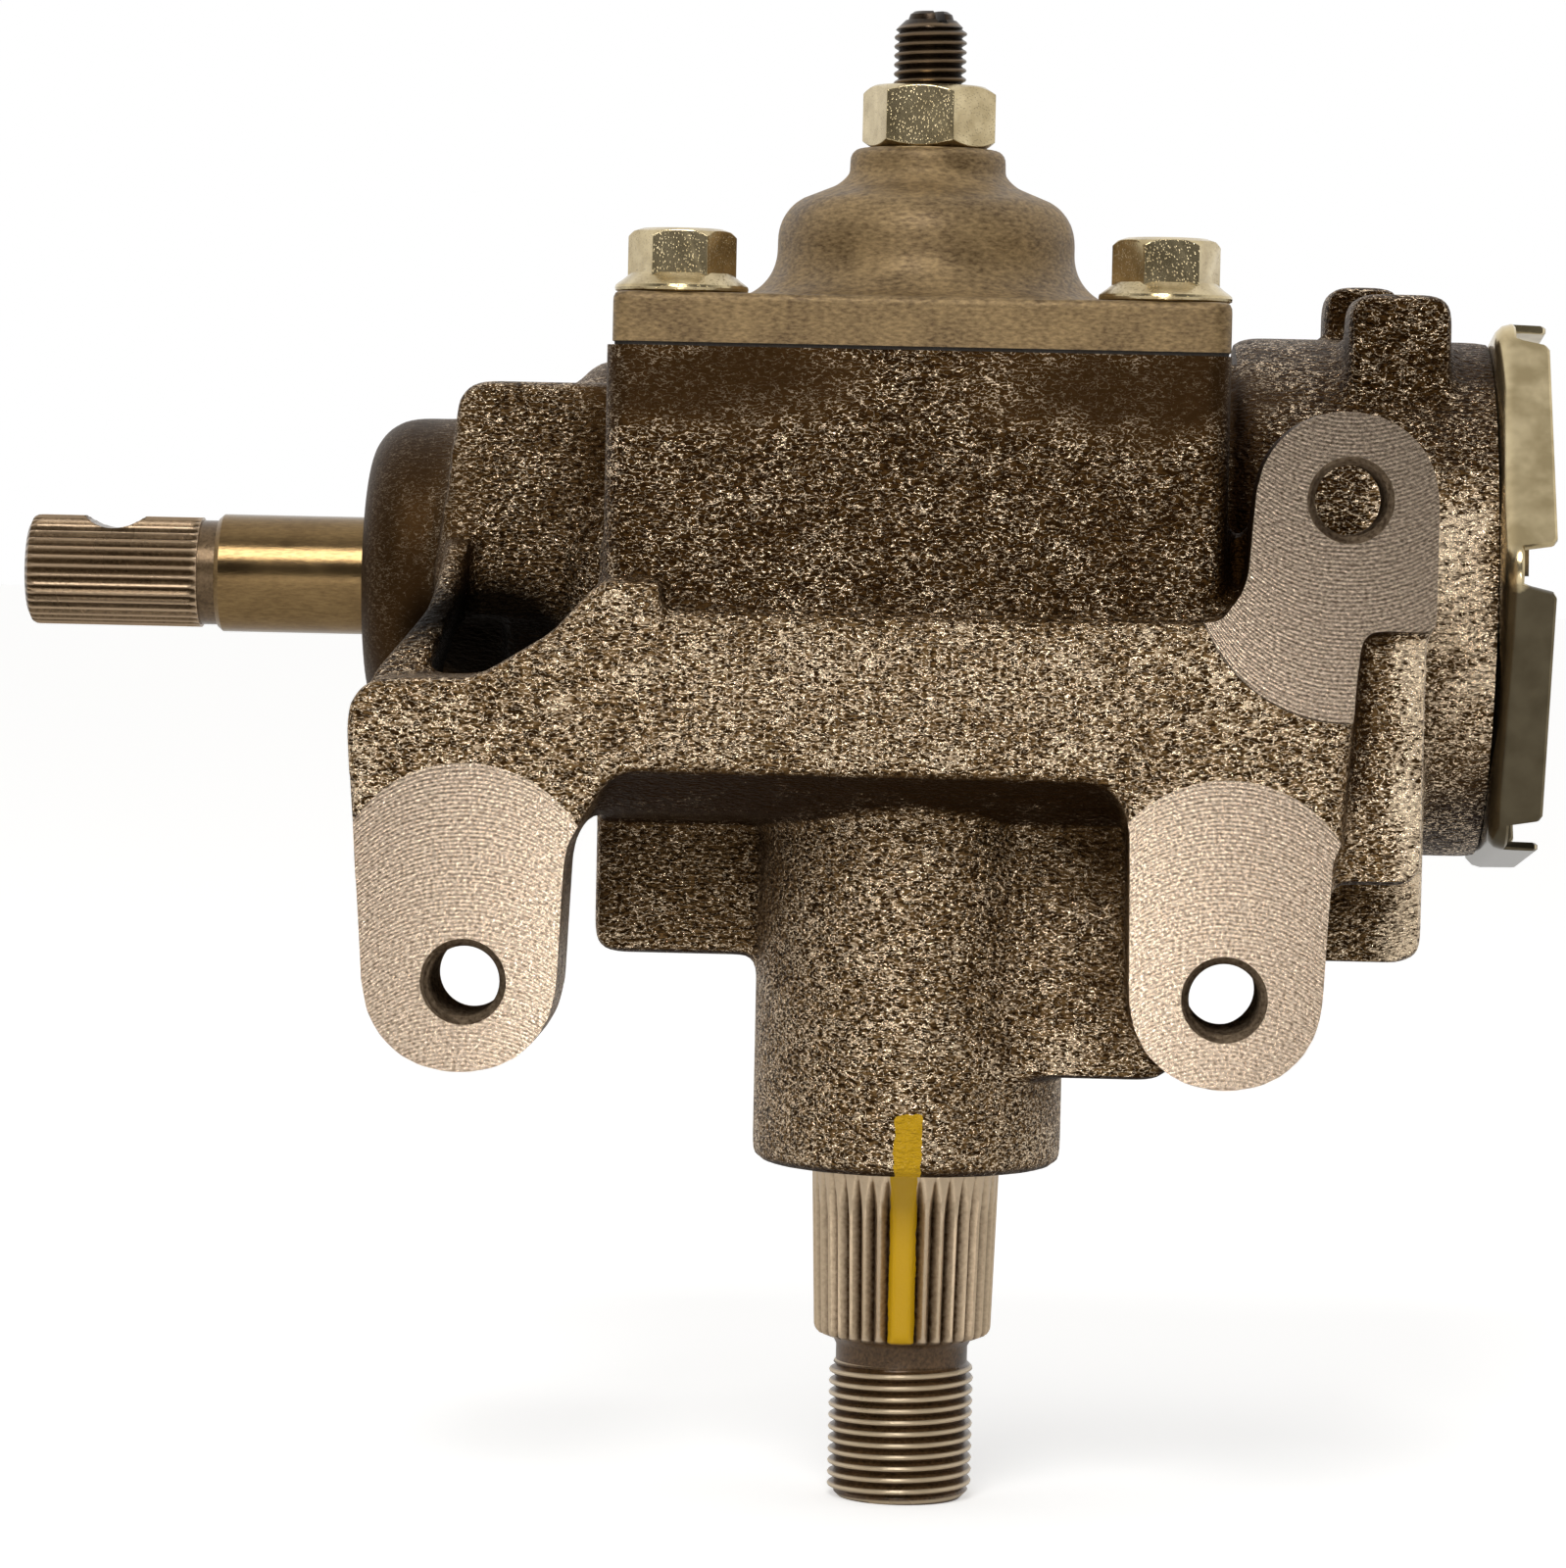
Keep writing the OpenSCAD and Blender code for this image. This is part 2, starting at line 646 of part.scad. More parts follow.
module cover_bolts() {
    color(zinc) for (i = [0 : 2]) {
        reach = gasket_t + plate_t + (i < 2 ? front_thread : rear_thread) - 1;
        translate([cover_bolts_at[i][0], cover_bolts_at[i][1], plate_z]) {
            cylinder(h = flange_rim, r = flange_r);
            translate([0, 0, flange_rim])
                cylinder(h = flange_h - flange_rim, r1 = flange_r, r2 = flange_top_r);
            translate([0, 0, flange_rim / 2])
                linear_extrude(height = flange_h + bolt_head_h - flange_rim / 2)
                    rotate(bolt_turns[i]) hexagon(bolt_af);
            translate([0, 0, -reach]) cylinder(h = reach + eps, r = bolt_r);
        }
    }
}

module lash_adjuster() {
    head_z = slot_z0 + slot_gap;
    thread_top = lash_top - lash_tip_h - lash_chamfer;
    color("#3b352d") difference() {
        union() {
            post(head_z, head_z + head_h, head_r);
            post(head_z, thread_top, lash_r);
            translate([0, 0, thread_top])
                cylinder(h = lash_chamfer, r1 = lash_r, r2 = lash_r - lash_chamfer);
            post(thread_top + eps, lash_top, lash_tip_r);
        }
        // Screwdriver slot
        block([-lash_slot_w / 2, -lash_r, lash_top - lash_slot_depth],
            [lash_slot_w / 2, lash_r, lash_top + eps]);
    }
}

module lash_lock_nut() {
    color(zinc) difference() {
        translate([0, 0, neck_top]) linear_extrude(height = lash_nut_h)
            rotate(lash_nut_turn) hexagon(lash_nut_af);
        post(neck_top - eps, neck_top + lash_nut_h + eps, lash_r);
    }
}

module lash_shim() {
    z = slot_z0 + slot_gap + head_h;
    color(steel) difference() {
        post(z, z + shim_h, head_r);
        post(z - eps, z + shim_h + eps, lash_r);
    }
}

module sector_tooth() {
    steps = 6;
    radii = [for (i = [0 : steps]) base_r + (tip_r - base_r) * i / steps];
    half = tooth_half(base_r);
    polygon(concat(
        [polar(root_r - 1, -half)],
        [for (r = radii) polar(r, -tooth_half(r))],
        [for (i = [steps : -1 : 0]) polar(radii[i], tooth_half(radii[i]))],
        [polar(root_r - 1, half)]));
}

// V grooves of the tapered arm spline, with four wide teeth left between them
module arm_grooves() {
    foot_r = arm_spline_r - arm_spline_len * tan(arm_taper);
    outline = [[-arm_groove_depth, 0], [arm_groove_depth, -arm_groove_width],
        [arm_groove_depth, arm_groove_width]];
    for (i = [0 : arm_pitches - 1]) {
        if (i % (arm_pitches / 4) != 0) {
            rotate(i * 360 / arm_pitches) translate([foot_r, 0, -arm_spline_len]) rotate([0, arm_taper, 0])
                translate([0, 0, -eps]) linear_extrude(height = arm_spline_len - arm_runout)
                    polygon(outline);
        }
    }
}

module sector_shaft() {
    thread_z = -arm_spline_len - arm_neck_len;
    color(steel) difference() {
        union() {
            post(seal_z0 - 1, gear_z0 + eps, lower_journal_r);
            post(gear_z1 - eps, shaft_top_z, upper_journal_r);
            translate([0, 0, gear_z0]) linear_extrude(height = face_width) {
                circle(r = root_r);
                for (i = [-1 : 1]) rotate(90 + i * tooth_angle) sector_tooth();
            }
            translate([0, 0, -arm_spline_len + arm_chamfer])
                cylinder(h = arm_spline_len, r1 = arm_low_r, r2 = arm_spline_r);
            translate([0, 0, -arm_spline_len])
                cylinder(h = arm_chamfer, r1 = arm_low_r - arm_chamfer, r2 = arm_low_r);
            post(thread_z, -arm_spline_len + eps, arm_neck_r);
            post(-arm_reach + thread_chamfer, thread_z, arm_thread_r);
            translate([0, 0, -arm_reach])
                cylinder(h = thread_chamfer, r1 = arm_thread_r - thread_chamfer, r2 = arm_thread_r);
        }
        arm_grooves();
        // T-slot for the head of the lash adjuster, open to the front
        block([-head_r - slot_gap, -upper_journal_r - eps, slot_z0],
            [head_r + slot_gap, head_r + slot_gap, slot_z1]);
        block([-lash_r - slot_gap, -upper_journal_r - eps, slot_z0],
            [lash_r + slot_gap, lash_r + slot_gap, shaft_top_z + eps]);
    }
}

module cover_bush() {
    color("#b08a4a") difference() {
        post(gasket_z, dome_floor - 2, upper_journal_r + cover_bush_wall);
        post(gasket_z - eps, dome_floor, upper_journal_r + running_gap);
    }
}

module tube_bush() {
    color("#b08a4a") difference() {
        post(bush_z0, bush_z1, lower_journal_r + bush_wall);
        post(bush_z0 - eps, bush_z1 + eps, lower_journal_r + running_gap);
    }
}

module sector_seal() {
    color("#2b2926") difference() {
        post(seal_z0, seal_z1, seal_r);
        post(seal_z0 - eps, seal_z1 + eps, lower_journal_r + running_gap);
    }
}

// Turned section of the worm with its helical ball groove
module worm_thread() {
    turns = 2 * worm_half / lead;
    along_worm(-worm_half)
        linear_extrude(height = 2 * worm_half, twist = -360 * turns, slices = ceil(turns * turn_slices),
            $fn = turn_points)
            polygon([for (i = [0 : turn_points - 1])
                let (a = 360 * i / turn_points - 180)
                polar(min(worm_r, ball_circle_r - groove_rise(a)), a)]);
}

module ball_ring(x, grow) {
    along_worm(x) rotate_extrude() translate([bearing_circle_r, 0]) circle(r = bearing_ball_r + grow);
}

module input_spline() {
    step = 360 / input_teeth;
    tooth = [[-0.2, 0], [0.2, 0], [0.5, input_depth]];
    along_worm(-input_reach + input_chamfer) linear_extrude(height = input_spline_len - input_chamfer)
        polygon([for (i = [0 : input_teeth - 1]) for (p = tooth)
            polar(input_spline_r - p[1], (i + p[0]) * step)]);
}

module worm_shaft() {
    spline_end = -input_reach + input_spline_len;
    end_r = input_spline_r - 1.5 * input_depth;
    color(steel) difference() {
        union() {
            input_spline();
            along_worm(-input_reach)
                cylinder(h = input_chamfer + eps, r1 = end_r - input_depth, r2 = end_r);
            worm_rod(spline_end - eps, spline_end + input_neck, journal_r - 1);
            worm_rod(spline_end + input_neck, -collar_x0, journal_r);
            worm_rod(-collar_x1, -collar_x0, collar_r);
            worm_rod(-collar_x0 - eps, -worm_half, worm_core_r);
            worm_thread();
            worm_rod(worm_half, collar_x0 + eps, worm_core_r);
            worm_rod(collar_x0, collar_x1, collar_r);
            worm_rod(collar_x0, plug_thread_x, journal_r);
        }
        ball_ring(-bearing_x, race_gap);
        ball_ring(bearing_x, race_gap);
        // Notch for the clamp bolt of the steering coupling
        translate([notch_reach - input_reach, worm_y - collar_r,
            worm_z + input_spline_r + notch_r - notch_depth])
            rotate([-90, 0, 0]) cylinder(h = 2 * collar_r, r = notch_r);
    }
}

module worm_seal() {
    color("#2b2926") difference() {
        worm_rod(-boss_x + eps, -boss_x + worm_seal_w + eps, worm_seal_r);
        worm_rod(-boss_x - eps, 0, journal_r + running_gap);
    }
}

module bearing_cup() {
    difference() {
        worm_rod(cup_x0, cup_x1, cup_r);
        worm_rod(cup_x0 - eps, cup_x1 + eps, cup_bore_r);
        ball_ring(bearing_x, race_gap);
    }
}

module bearing_ball_set(grow) {
    along_worm(bearing_x) for (i = [0 : bearing_balls - 1])
        rotate(i * 360 / bearing_balls) translate([bearing_circle_r, 0, 0])
            sphere(r = bearing_ball_r + grow);
}

module bearing_retainer() {
    difference() {
        worm_rod(retainer_x0, retainer_x1, cup_bore_r - 0.4);
        worm_rod(retainer_x0 - eps, retainer_x1 + eps, cup_bore_r - 0.4 - retainer_wall);
        bearing_ball_set(retainer_gap);
    }
}

module upper_bearing_cup() {
    color(steel) mirror([1, 0, 0]) bearing_cup();
}

module upper_bearing_balls() {
    color("silver") mirror([1, 0, 0]) bearing_ball_set(0);
}

module upper_bearing_retainer() {
    color("#8d7a4c") mirror([1, 0, 0]) bearing_retainer();
}

module lower_bearing_cup() {
    color(steel) bearing_cup();
}

module lower_bearing_balls() {
    color("silver") bearing_ball_set(0);
}

module lower_bearing_retainer() {
    color("#8d7a4c") bearing_retainer();
}

// Rack outline, seen from above, with its tooth spaces centred on the sector
module rack_outline() {
    slope = tan(pressure_angle);
    half = tooth_pitch / 4 - backlash / 4;
    polygon(concat([[-nut_half, rack_back_y], [-nut_half, rack_root_y]],
        [for (i = [-1.5 : 1 : 1.5]) for (p = [[-1, 1], [-1, -1], [1, -1], [1, 1]])
            let (y = p[1] > 0 ? rack_root_y : rack_tip_y)
            [i * tooth_pitch + p[0] * (half + (y - sector_pitch_r) * slope), y]],
        [[nut_half, rack_root_y], [nut_half, rack_back_y]]));
}

module nut_bore() {
    turns = (2 * nut_half + 2 * eps) / lead;
    along_worm(-nut_half - eps) rotate(360 * (worm_half - nut_half - eps) / lead)
        linear_extrude(height = 2 * nut_half + 2 * eps, twist = -360 * turns,
            slices = ceil(turns * turn_slices), $fn = turn_points)
            polygon([for (i = [0 : turn_points - 1])
                let (a = 360 * i / turn_points - 180)
                polar(max(nut_bore_r, ball_circle_r + groove_rise(a)) / chord_share, a)]);
}

module ball_nut() {
    color("#8f8676") difference() {
        union() {
            intersection() {
                worm_rod(-nut_half, nut_half, nut_r);
                block([-nut_half - eps, rack_root_y, worm_z - nut_r],
                    [nut_half + eps, worm_y + nut_back, worm_z + nut_r]);
            }
            translate([0, 0, gear_z0]) linear_extrude(height = face_width) rack_outline();
        }
        nut_bore();
        for (s = [-1, 1]) translate([s * screw_x, worm_y + nut_back - screw_grip - 1, worm_z])
            rotate([-90, 0, 0]) cylinder(h = screw_grip + 2, r = screw_r, $fn = 24);
        guide_paths(guide_r, -eps);
    }
}

module ball_train() {
    step = 360 * (ball_d + ball_space) / sqrt(pow(2 * PI * ball_circle_r, 2) + lead * lead);
    run = (circuit_balls - 1) * step;
    color("silver") for (x = [-guide_x, guide_x]) for (i = [0 : circuit_balls - 1]) {
        a = 360 * (x + worm_half) / lead - run / 2 + i * step;
        along_worm(-worm_half) rotate(a) translate([ball_circle_r, 0, a * lead / 360]) sphere(r = ball_r);
    }
}

// Two U-shaped ball return paths on the back of the nut, each with two bends
module guide_paths(r, lift) {
    for (s = [-1, 1]) translate([s * guide_x, worm_y + nut_back - guide_foot, worm_z])
        rotate([0, guide_skew, 0]) for (k = [0, 1]) mirror([0, 0, k]) {
            translate([0, lift, guide_span]) rotate([-90, 0, 0]) cylinder(h = guide_foot - lift, r = r);
            translate([0, guide_foot, guide_span - guide_bend]) rotate([0, -90, 0])
                rotate_extrude(angle = 90) translate([guide_bend, 0]) circle(r = r);
            translate([0, guide_foot + guide_bend, 0]) cylinder(h = guide_span - guide_bend, r = r);
        }
}

module ball_guides() {
    color("#a9a290") guide_paths(guide_r, 0);
}

module guide_clamp() {
    under = nut_back + guide_bend + guide_r;
    foot = screw_x - screw_head_r - strap_t - screw_room;
    color("#b5ae98") difference() {
        translate([0, worm_y, worm_z - strap_w / 2]) linear_extrude(height = strap_w) polygon([
            [-nut_half, nut_back], [-foot, nut_back], [-foot, under], [foot, under],
            [foot, nut_back], [nut_half, nut_back], [nut_half, nut_back + strap_t],
            [foot + strap_t, nut_back + strap_t], [foot + strap_t, under + strap_t],
            [-foot - strap_t, under + strap_t], [-foot - strap_t, nut_back + strap_t],
            [-nut_half, nut_back + strap_t]]);
        for (s = [-1, 1]) translate([s * screw_x, worm_y, worm_z])
            rotate([-90, 0, 0]) cylinder(h = nut_r + 2, r = screw_r, $fn = 24);
    }
}

module clamp_screws() {
    color(zinc) for (s = [-1, 1]) translate([s * screw_x, worm_y + nut_back + strap_t, worm_z])
        rotate([-90, 0, 0]) {
            cylinder(h = screw_head_h, r = screw_head_r, $fn = 48);
            translate([0, 0, -strap_t - screw_grip])
                cylinder(h = strap_t + screw_grip + 1, r = screw_r, $fn = 24);
        }
}

module bearing_adjuster() {
    color("#6f6658") difference() {
        union() {
            worm_rod(cup_x0, plug_thread_x + eps, plug_nose_r);
            worm_rod(plug_thread_x, plug_end_x, plug_r);
        }
        worm_rod(cup_x0 - eps, cup_x1, cup_r);
        worm_rod(cup_x0, plug_floor_x, journal_r + 1);
        worm_rod(plug_end_x - plug_recess, plug_end_x + eps, plug_r - plug_wall);
        // Spanner slots in the rim
        for (a = [0, 90]) along_worm(plug_end_x - plug_slot_depth) rotate(a)
            translate([-plug_r - eps, -plug_slot_w / 2, 0])
                cube([2 * plug_r + 2 * eps, plug_slot_w, plug_slot_depth + eps]);
    }
}

module adjuster_lock_nut() {
    color(zinc) difference() {
        along_worm(lock_x0) rotate(90 + lock_tilt)
            linear_extrude(height = lock_sheet + lock_rim) hexagon(2 * lock_flat);
        along_worm(lock_x0 + lock_sheet) rotate(90 + lock_tilt)
            linear_extrude(height = lock_rim + eps) hexagon(2 * (lock_flat - lock_sheet));
        worm_rod(lock_x0 - eps, plug_end_x, plug_r);
        // Corners of the rim are cut low
        for (i = [0 : 5]) along_worm(lock_x0 + lock_low) rotate(90 + lock_tilt + i * 60)
            translate([lock_flat - lock_lip, -lock_notch / 2, 0])
                cube([3 * lock_lip, lock_notch, lock_rim + lock_sheet]);
    }
}

gear_housing();
side_cover();
cover_gasket();
cover_bolts();
lash_adjuster();
lash_lock_nut();
lash_shim();
sector_shaft();
cover_bush();
tube_bush();
sector_seal();
worm_shaft();
worm_seal();
upper_bearing_cup();
upper_bearing_balls();
upper_bearing_retainer();
lower_bearing_cup();
lower_bearing_balls();
lower_bearing_retainer();
ball_nut();
ball_train();
ball_guides();
guide_clamp();
clamp_screws();
bearing_adjuster();
adjuster_lock_nut();
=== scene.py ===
"""Looks of a manual recirculating-ball steering gearbox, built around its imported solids."""
import math

import bmesh
import bpy
import numpy as np
from mathutils import Matrix, Quaternion, Vector


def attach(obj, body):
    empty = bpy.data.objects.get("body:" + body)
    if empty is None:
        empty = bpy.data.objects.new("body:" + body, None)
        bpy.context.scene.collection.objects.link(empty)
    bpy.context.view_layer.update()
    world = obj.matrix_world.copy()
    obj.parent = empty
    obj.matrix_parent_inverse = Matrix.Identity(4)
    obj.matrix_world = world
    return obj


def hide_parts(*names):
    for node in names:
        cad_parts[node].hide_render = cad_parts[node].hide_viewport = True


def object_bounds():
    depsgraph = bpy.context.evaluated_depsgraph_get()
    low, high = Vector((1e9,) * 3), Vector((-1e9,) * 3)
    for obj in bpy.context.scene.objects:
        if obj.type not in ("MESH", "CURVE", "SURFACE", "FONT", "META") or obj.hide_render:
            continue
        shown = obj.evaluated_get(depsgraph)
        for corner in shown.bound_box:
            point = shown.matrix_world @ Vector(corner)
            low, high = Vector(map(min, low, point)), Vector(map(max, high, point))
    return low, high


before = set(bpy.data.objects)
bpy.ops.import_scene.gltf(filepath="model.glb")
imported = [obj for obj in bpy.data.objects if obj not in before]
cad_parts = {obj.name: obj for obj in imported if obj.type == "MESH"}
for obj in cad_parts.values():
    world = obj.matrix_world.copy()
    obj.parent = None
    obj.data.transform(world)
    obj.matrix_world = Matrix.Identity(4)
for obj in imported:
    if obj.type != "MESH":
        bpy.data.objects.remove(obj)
cad_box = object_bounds()

# Sizes in millimetres, in the frame of the solids
MM = 0.001
WORM_Y, WORM_Z = 41.0, 78.7
PAD_Y = -30.0
COVER_Z = 111.5
GASKET, PLATE_T = 0.5, 6.7
END_X, BOSS_X = 80.0, -79.8
SEAL_R, BUSH_R = 18.0, 16.5
HUB_R, SWEEP_R, SWEEP_Y = 19.5, 26.0, -9.0
CHAMBER_R, PLUG_R, CUP_R = 27.5, 31.0, 16.5
HOLES = {"left": (-59.3, 26.0), "right": (42.3, 26.0), "upper": (57.4, 92.8)}
HOLE_R, TAP_R, TAP_PITCH, COUNTERSINK_R = 4.7, 5.45, 1.81, 5.8
BOLTS = [(-32.5, -18.8), (32.5, -18.8), (0.0, 54.0)]
WORM_SEAL_R, SHAFT_HOLE_R = 13, 9.3
# Stock that is machined off, lap of a plug over the bore that it fills, and how near a face is to a cut
STOCK, PAD_STOCK, LAP, NEAR = 3, 1.6, 0.6, 0.02


def srgb(code):
    """Linear colour of an sRGB hex value."""
    parts = [int(code[i:i + 2], 16) / 255 for i in (1, 3, 5)]
    return tuple(c / 12.92 if c <= 0.04045 else ((c + 0.055) / 1.055) ** 2.4 for c in parts) + (1.0,)


def per_mm(size):
    """Texture scale at which one feature is that many millimetres across."""
    return 1.0 / (size * MM)


def add(tree, kind, sockets=None, **settings):
    """Adds a node with its settings, and fills its inputs with values or links."""
    node = tree.nodes.new(kind)
    for name, value in settings.items():
        setattr(node, name, value)
    for key, value in (sockets or {}).items():
        if isinstance(value, bpy.types.NodeSocket):
            tree.links.new(value, node.inputs[key])
        else:
            node.inputs[key].default_value = value
    return node


# Meshes

def mesh_from(name, verts, faces):
    mesh = bpy.data.meshes.new(name)
    mesh.from_pydata([tuple(v) for v in verts], [], faces)
    outward(mesh)
    return mesh


def outward(mesh, weld=1e-7):
    """Welds doubles and turns every face outwards."""
    bm = bmesh.new()
    bm.from_mesh(mesh)
    bmesh.ops.remove_doubles(bm, verts=bm.verts, dist=weld)
    bmesh.ops.recalc_face_normals(bm, faces=bm.faces)
    bm.to_mesh(mesh)
    bm.free()


def cad_copy(node):
    """Copy of a solid's mesh with its loose triangles welded."""
    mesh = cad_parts[node].data.copy()
    mesh.materials.clear()
    bm = bmesh.new()
    bm.from_mesh(mesh)
    bmesh.ops.remove_doubles(bm, verts=bm.verts, dist=2e-6)
    bm.to_mesh(mesh)
    bm.free()
    return mesh


def turned(name, profile, steps=96, place=Matrix()):
    """Solid of revolution about Z from [radius, height] points in millimetres, ends on the axis."""
    verts, rings = [], []
    for r, z in profile:
        if r < 1e-6:
            rings.append([len(verts)])
            verts.append((0, 0, z * MM))
            continue
        rings.append(list(range(len(verts), len(verts) + steps)))
        verts += [(r * MM * math.cos(t), r * MM * math.sin(t), z * MM)
                  for t in (2 * math.pi * i / steps for i in range(steps))]
    faces = []
    for a, b in zip(rings, rings[1:]):
        for i in range(steps):
            j = (i + 1) % steps
            corners = [a[i % len(a)], a[j % len(a)], b[j % len(b)], b[i % len(b)]]
            faces.append(list(dict.fromkeys(corners)))
    mesh = mesh_from(name, verts, [f for f in faces if len(f) > 2])
    mesh.transform(place)
    return mesh


def drawn(name, outline, low, high, place=Matrix()):
    """Prism whose outline is drawn in X and Y and rises in Z, in millimetres."""
    n = len(outline)
    verts = [(x * MM, y * MM, z * MM) for z in (low, high) for x, y in outline]
    faces = [list(range(n))[::-1], list(range(n, 2 * n))]
    faces += [[i, (i + 1) % n, n + (i + 1) % n, n + i] for i in range(n)]
    mesh = mesh_from(name, verts, faces)
    mesh.transform(place)
    return mesh


def round_points(centre, r, start, end, steps=24):
    return [(centre[0] + r * math.cos(math.radians(start + (end - start) * i / steps)),
             centre[1] + r * math.sin(math.radians(start + (end - start) * i / steps)))
            for i in range(steps + 1)]


def box_mesh(name, low, high):
    return drawn(name, [(low[0], low[1]), (high[0], low[1]), (high[0], high[1]), (low[0], high[1])],
                 low[2], high[2])


def joined(name, meshes):
    """One mesh from several, each face keeping its material."""
    out = bpy.data.meshes.new(name)
    slots = []
    bm = bmesh.new()
    for mesh in meshes:
        first = len(bm.faces)
        bm.from_mesh(mesh)
        bm.faces.ensure_lookup_table()
        mats = list(mesh.materials) or [None]
        for face in bm.faces[first:]:
            mat = mats[min(face.material_index, len(mats) - 1)]
            if mat not in slots:
                slots.append(mat)
            face.material_index = slots.index(mat)
    bm.to_mesh(out)
    bm.free()
    for mat in slots:
        out.materials.append(mat)
    return out


def placed(mesh):
    obj = bpy.data.objects.new(mesh.name, mesh)
    bpy.context.scene.collection.objects.link(obj)
    return obj


def baked(obj, name):
    """Plain mesh of an object with its modifiers, and the object gone."""
    mesh = bpy.data.meshes.new_from_object(obj.evaluated_get(bpy.context.evaluated_depsgraph_get()))
    mesh.name = name
    bpy.data.objects.remove(obj)
    return mesh


def machined(mesh, cutters, operation="DIFFERENCE"):
    """Mesh after each cutter has been taken from it, or added to it."""
    obj = placed(mesh)
    tools = []
    for cutter in cutters:
        tool = placed(cutter)
        tools.append(tool)
        step = obj.modifiers.new("cut", "BOOLEAN")
        step.object, step.operation, step.solver = tool, operation, "MANIFOLD"
    out = baked(obj, mesh.name)
    for tool in tools:
        bpy.data.objects.remove(tool)
    return out


def cast_skin(name, meshes, voxel, passes, keep):
    """One closed skin over several solids, with the soft edges and fillets of a casting."""
    obj = placed(joined(name, meshes))
    skin = obj.modifiers.new("skin", "REMESH")
    skin.mode, skin.voxel_size = "VOXEL", voxel * MM
    soft = obj.modifiers.new("soften", "SMOOTH")
    soft.factor, soft.iterations = 0.5, passes
    thin = obj.modifiers.new("thin", "DECIMATE")
    thin.ratio = keep
    return baked(obj, name)


def painted(mesh, material):
    mesh.materials.clear()
    mesh.materials.append(material)
    return mesh


def shaded(mesh, angle=35):
    """Smooth shading with hard edges past an angle."""
    mesh.shade_smooth()
    mesh.set_sharp_from_angle(angle=math.radians(angle))
    return mesh


def piece(name, mesh, body, slot, *nodes):
    """Finished piece on its body, standing for the solids it replaces."""
    obj = placed(mesh)
    obj.name = mesh.name = name
    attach(obj, body)
    if nodes:
        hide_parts(*nodes)
    return obj


ALONG_WORM = Matrix.Translation((0, WORM_Y * MM, WORM_Z * MM)) @ Matrix.Rotation(math.radians(90), 4, "Y")
FRONT = Matrix.Rotation(math.radians(90), 4, "X")


def worm_rod(name, x0, x1, r, steps=96):
    return turned(name, [(0, x0), (r, x0), (r, x1), (0, x1)], steps, ALONG_WORM)


def post(name, z0, z1, r, steps=96):
    return turned(name, [(0, z0), (r, z0), (r, z1), (0, z1)], steps)


def bolt_rod(name, bolt, z0, z1, r, steps=96):
    """Rod along Z on the line of a cover bolt."""
    rod = post(name, z0, z1, r, steps)
    rod.transform(Matrix.Translation((bolt[0] * MM, bolt[1] * MM, 0)))
    return rod


def front_rod(name, x, z, y0, y1, r, steps=48):
    """Rod along Y, between two depths."""
    return turned(name, [(0, -y1), (r, -y1), (r, -y0), (0, -y0)], steps,
                  Matrix.Translation((x * MM, 0, z * MM)) @ FRONT)


# Geometry node trees

def new_tree(name, inputs):
    """Geometry node tree with its named inputs, and the group's two ends."""
    tree = bpy.data.node_groups.new(name, "GeometryNodeTree")
    tree.interface.new_socket("Geometry", in_out="OUTPUT", socket_type="NodeSocketGeometry")
    tree.interface.new_socket("Geometry", in_out="INPUT", socket_type="NodeSocketGeometry")
    for label, kind in inputs.items():
        tree.interface.new_socket(label, in_out="INPUT", socket_type="NodeSocket" + kind)
    return tree, add(tree, "NodeGroupInput"), add(tree, "NodeGroupOutput")


def close_tree(tree, start, end, geometry):
    real = add(tree, "GeometryNodeRealizeInstances", {"Geometry": geometry})
    last = add(tree, "GeometryNodeSetMaterial",
               {"Geometry": real.outputs[0], "Material": start.outputs["Material"]})
    tree.links.new(last.outputs[0], end.inputs[0])


def grown(tree, name, values, base=None):
    """Plain mesh that a tree makes with these values for its inputs."""
    obj = placed(base or bpy.data.meshes.new(name))
    step = obj.modifiers.new("grow", "NODES")
    step.node_group = tree
    for item in tree.interface.items_tree:
        if item.in_out == "INPUT" and item.name in values:
            step[item.identifier] = values[item.name]
    return baked(obj, name)


def calc(tree, how, *values):
    """Output of one sum on fields or numbers."""
    node = add(tree, "ShaderNodeMath", dict(enumerate(values)), operation=how)
    return node.outputs[0]


PROFILE_ROWS = 6


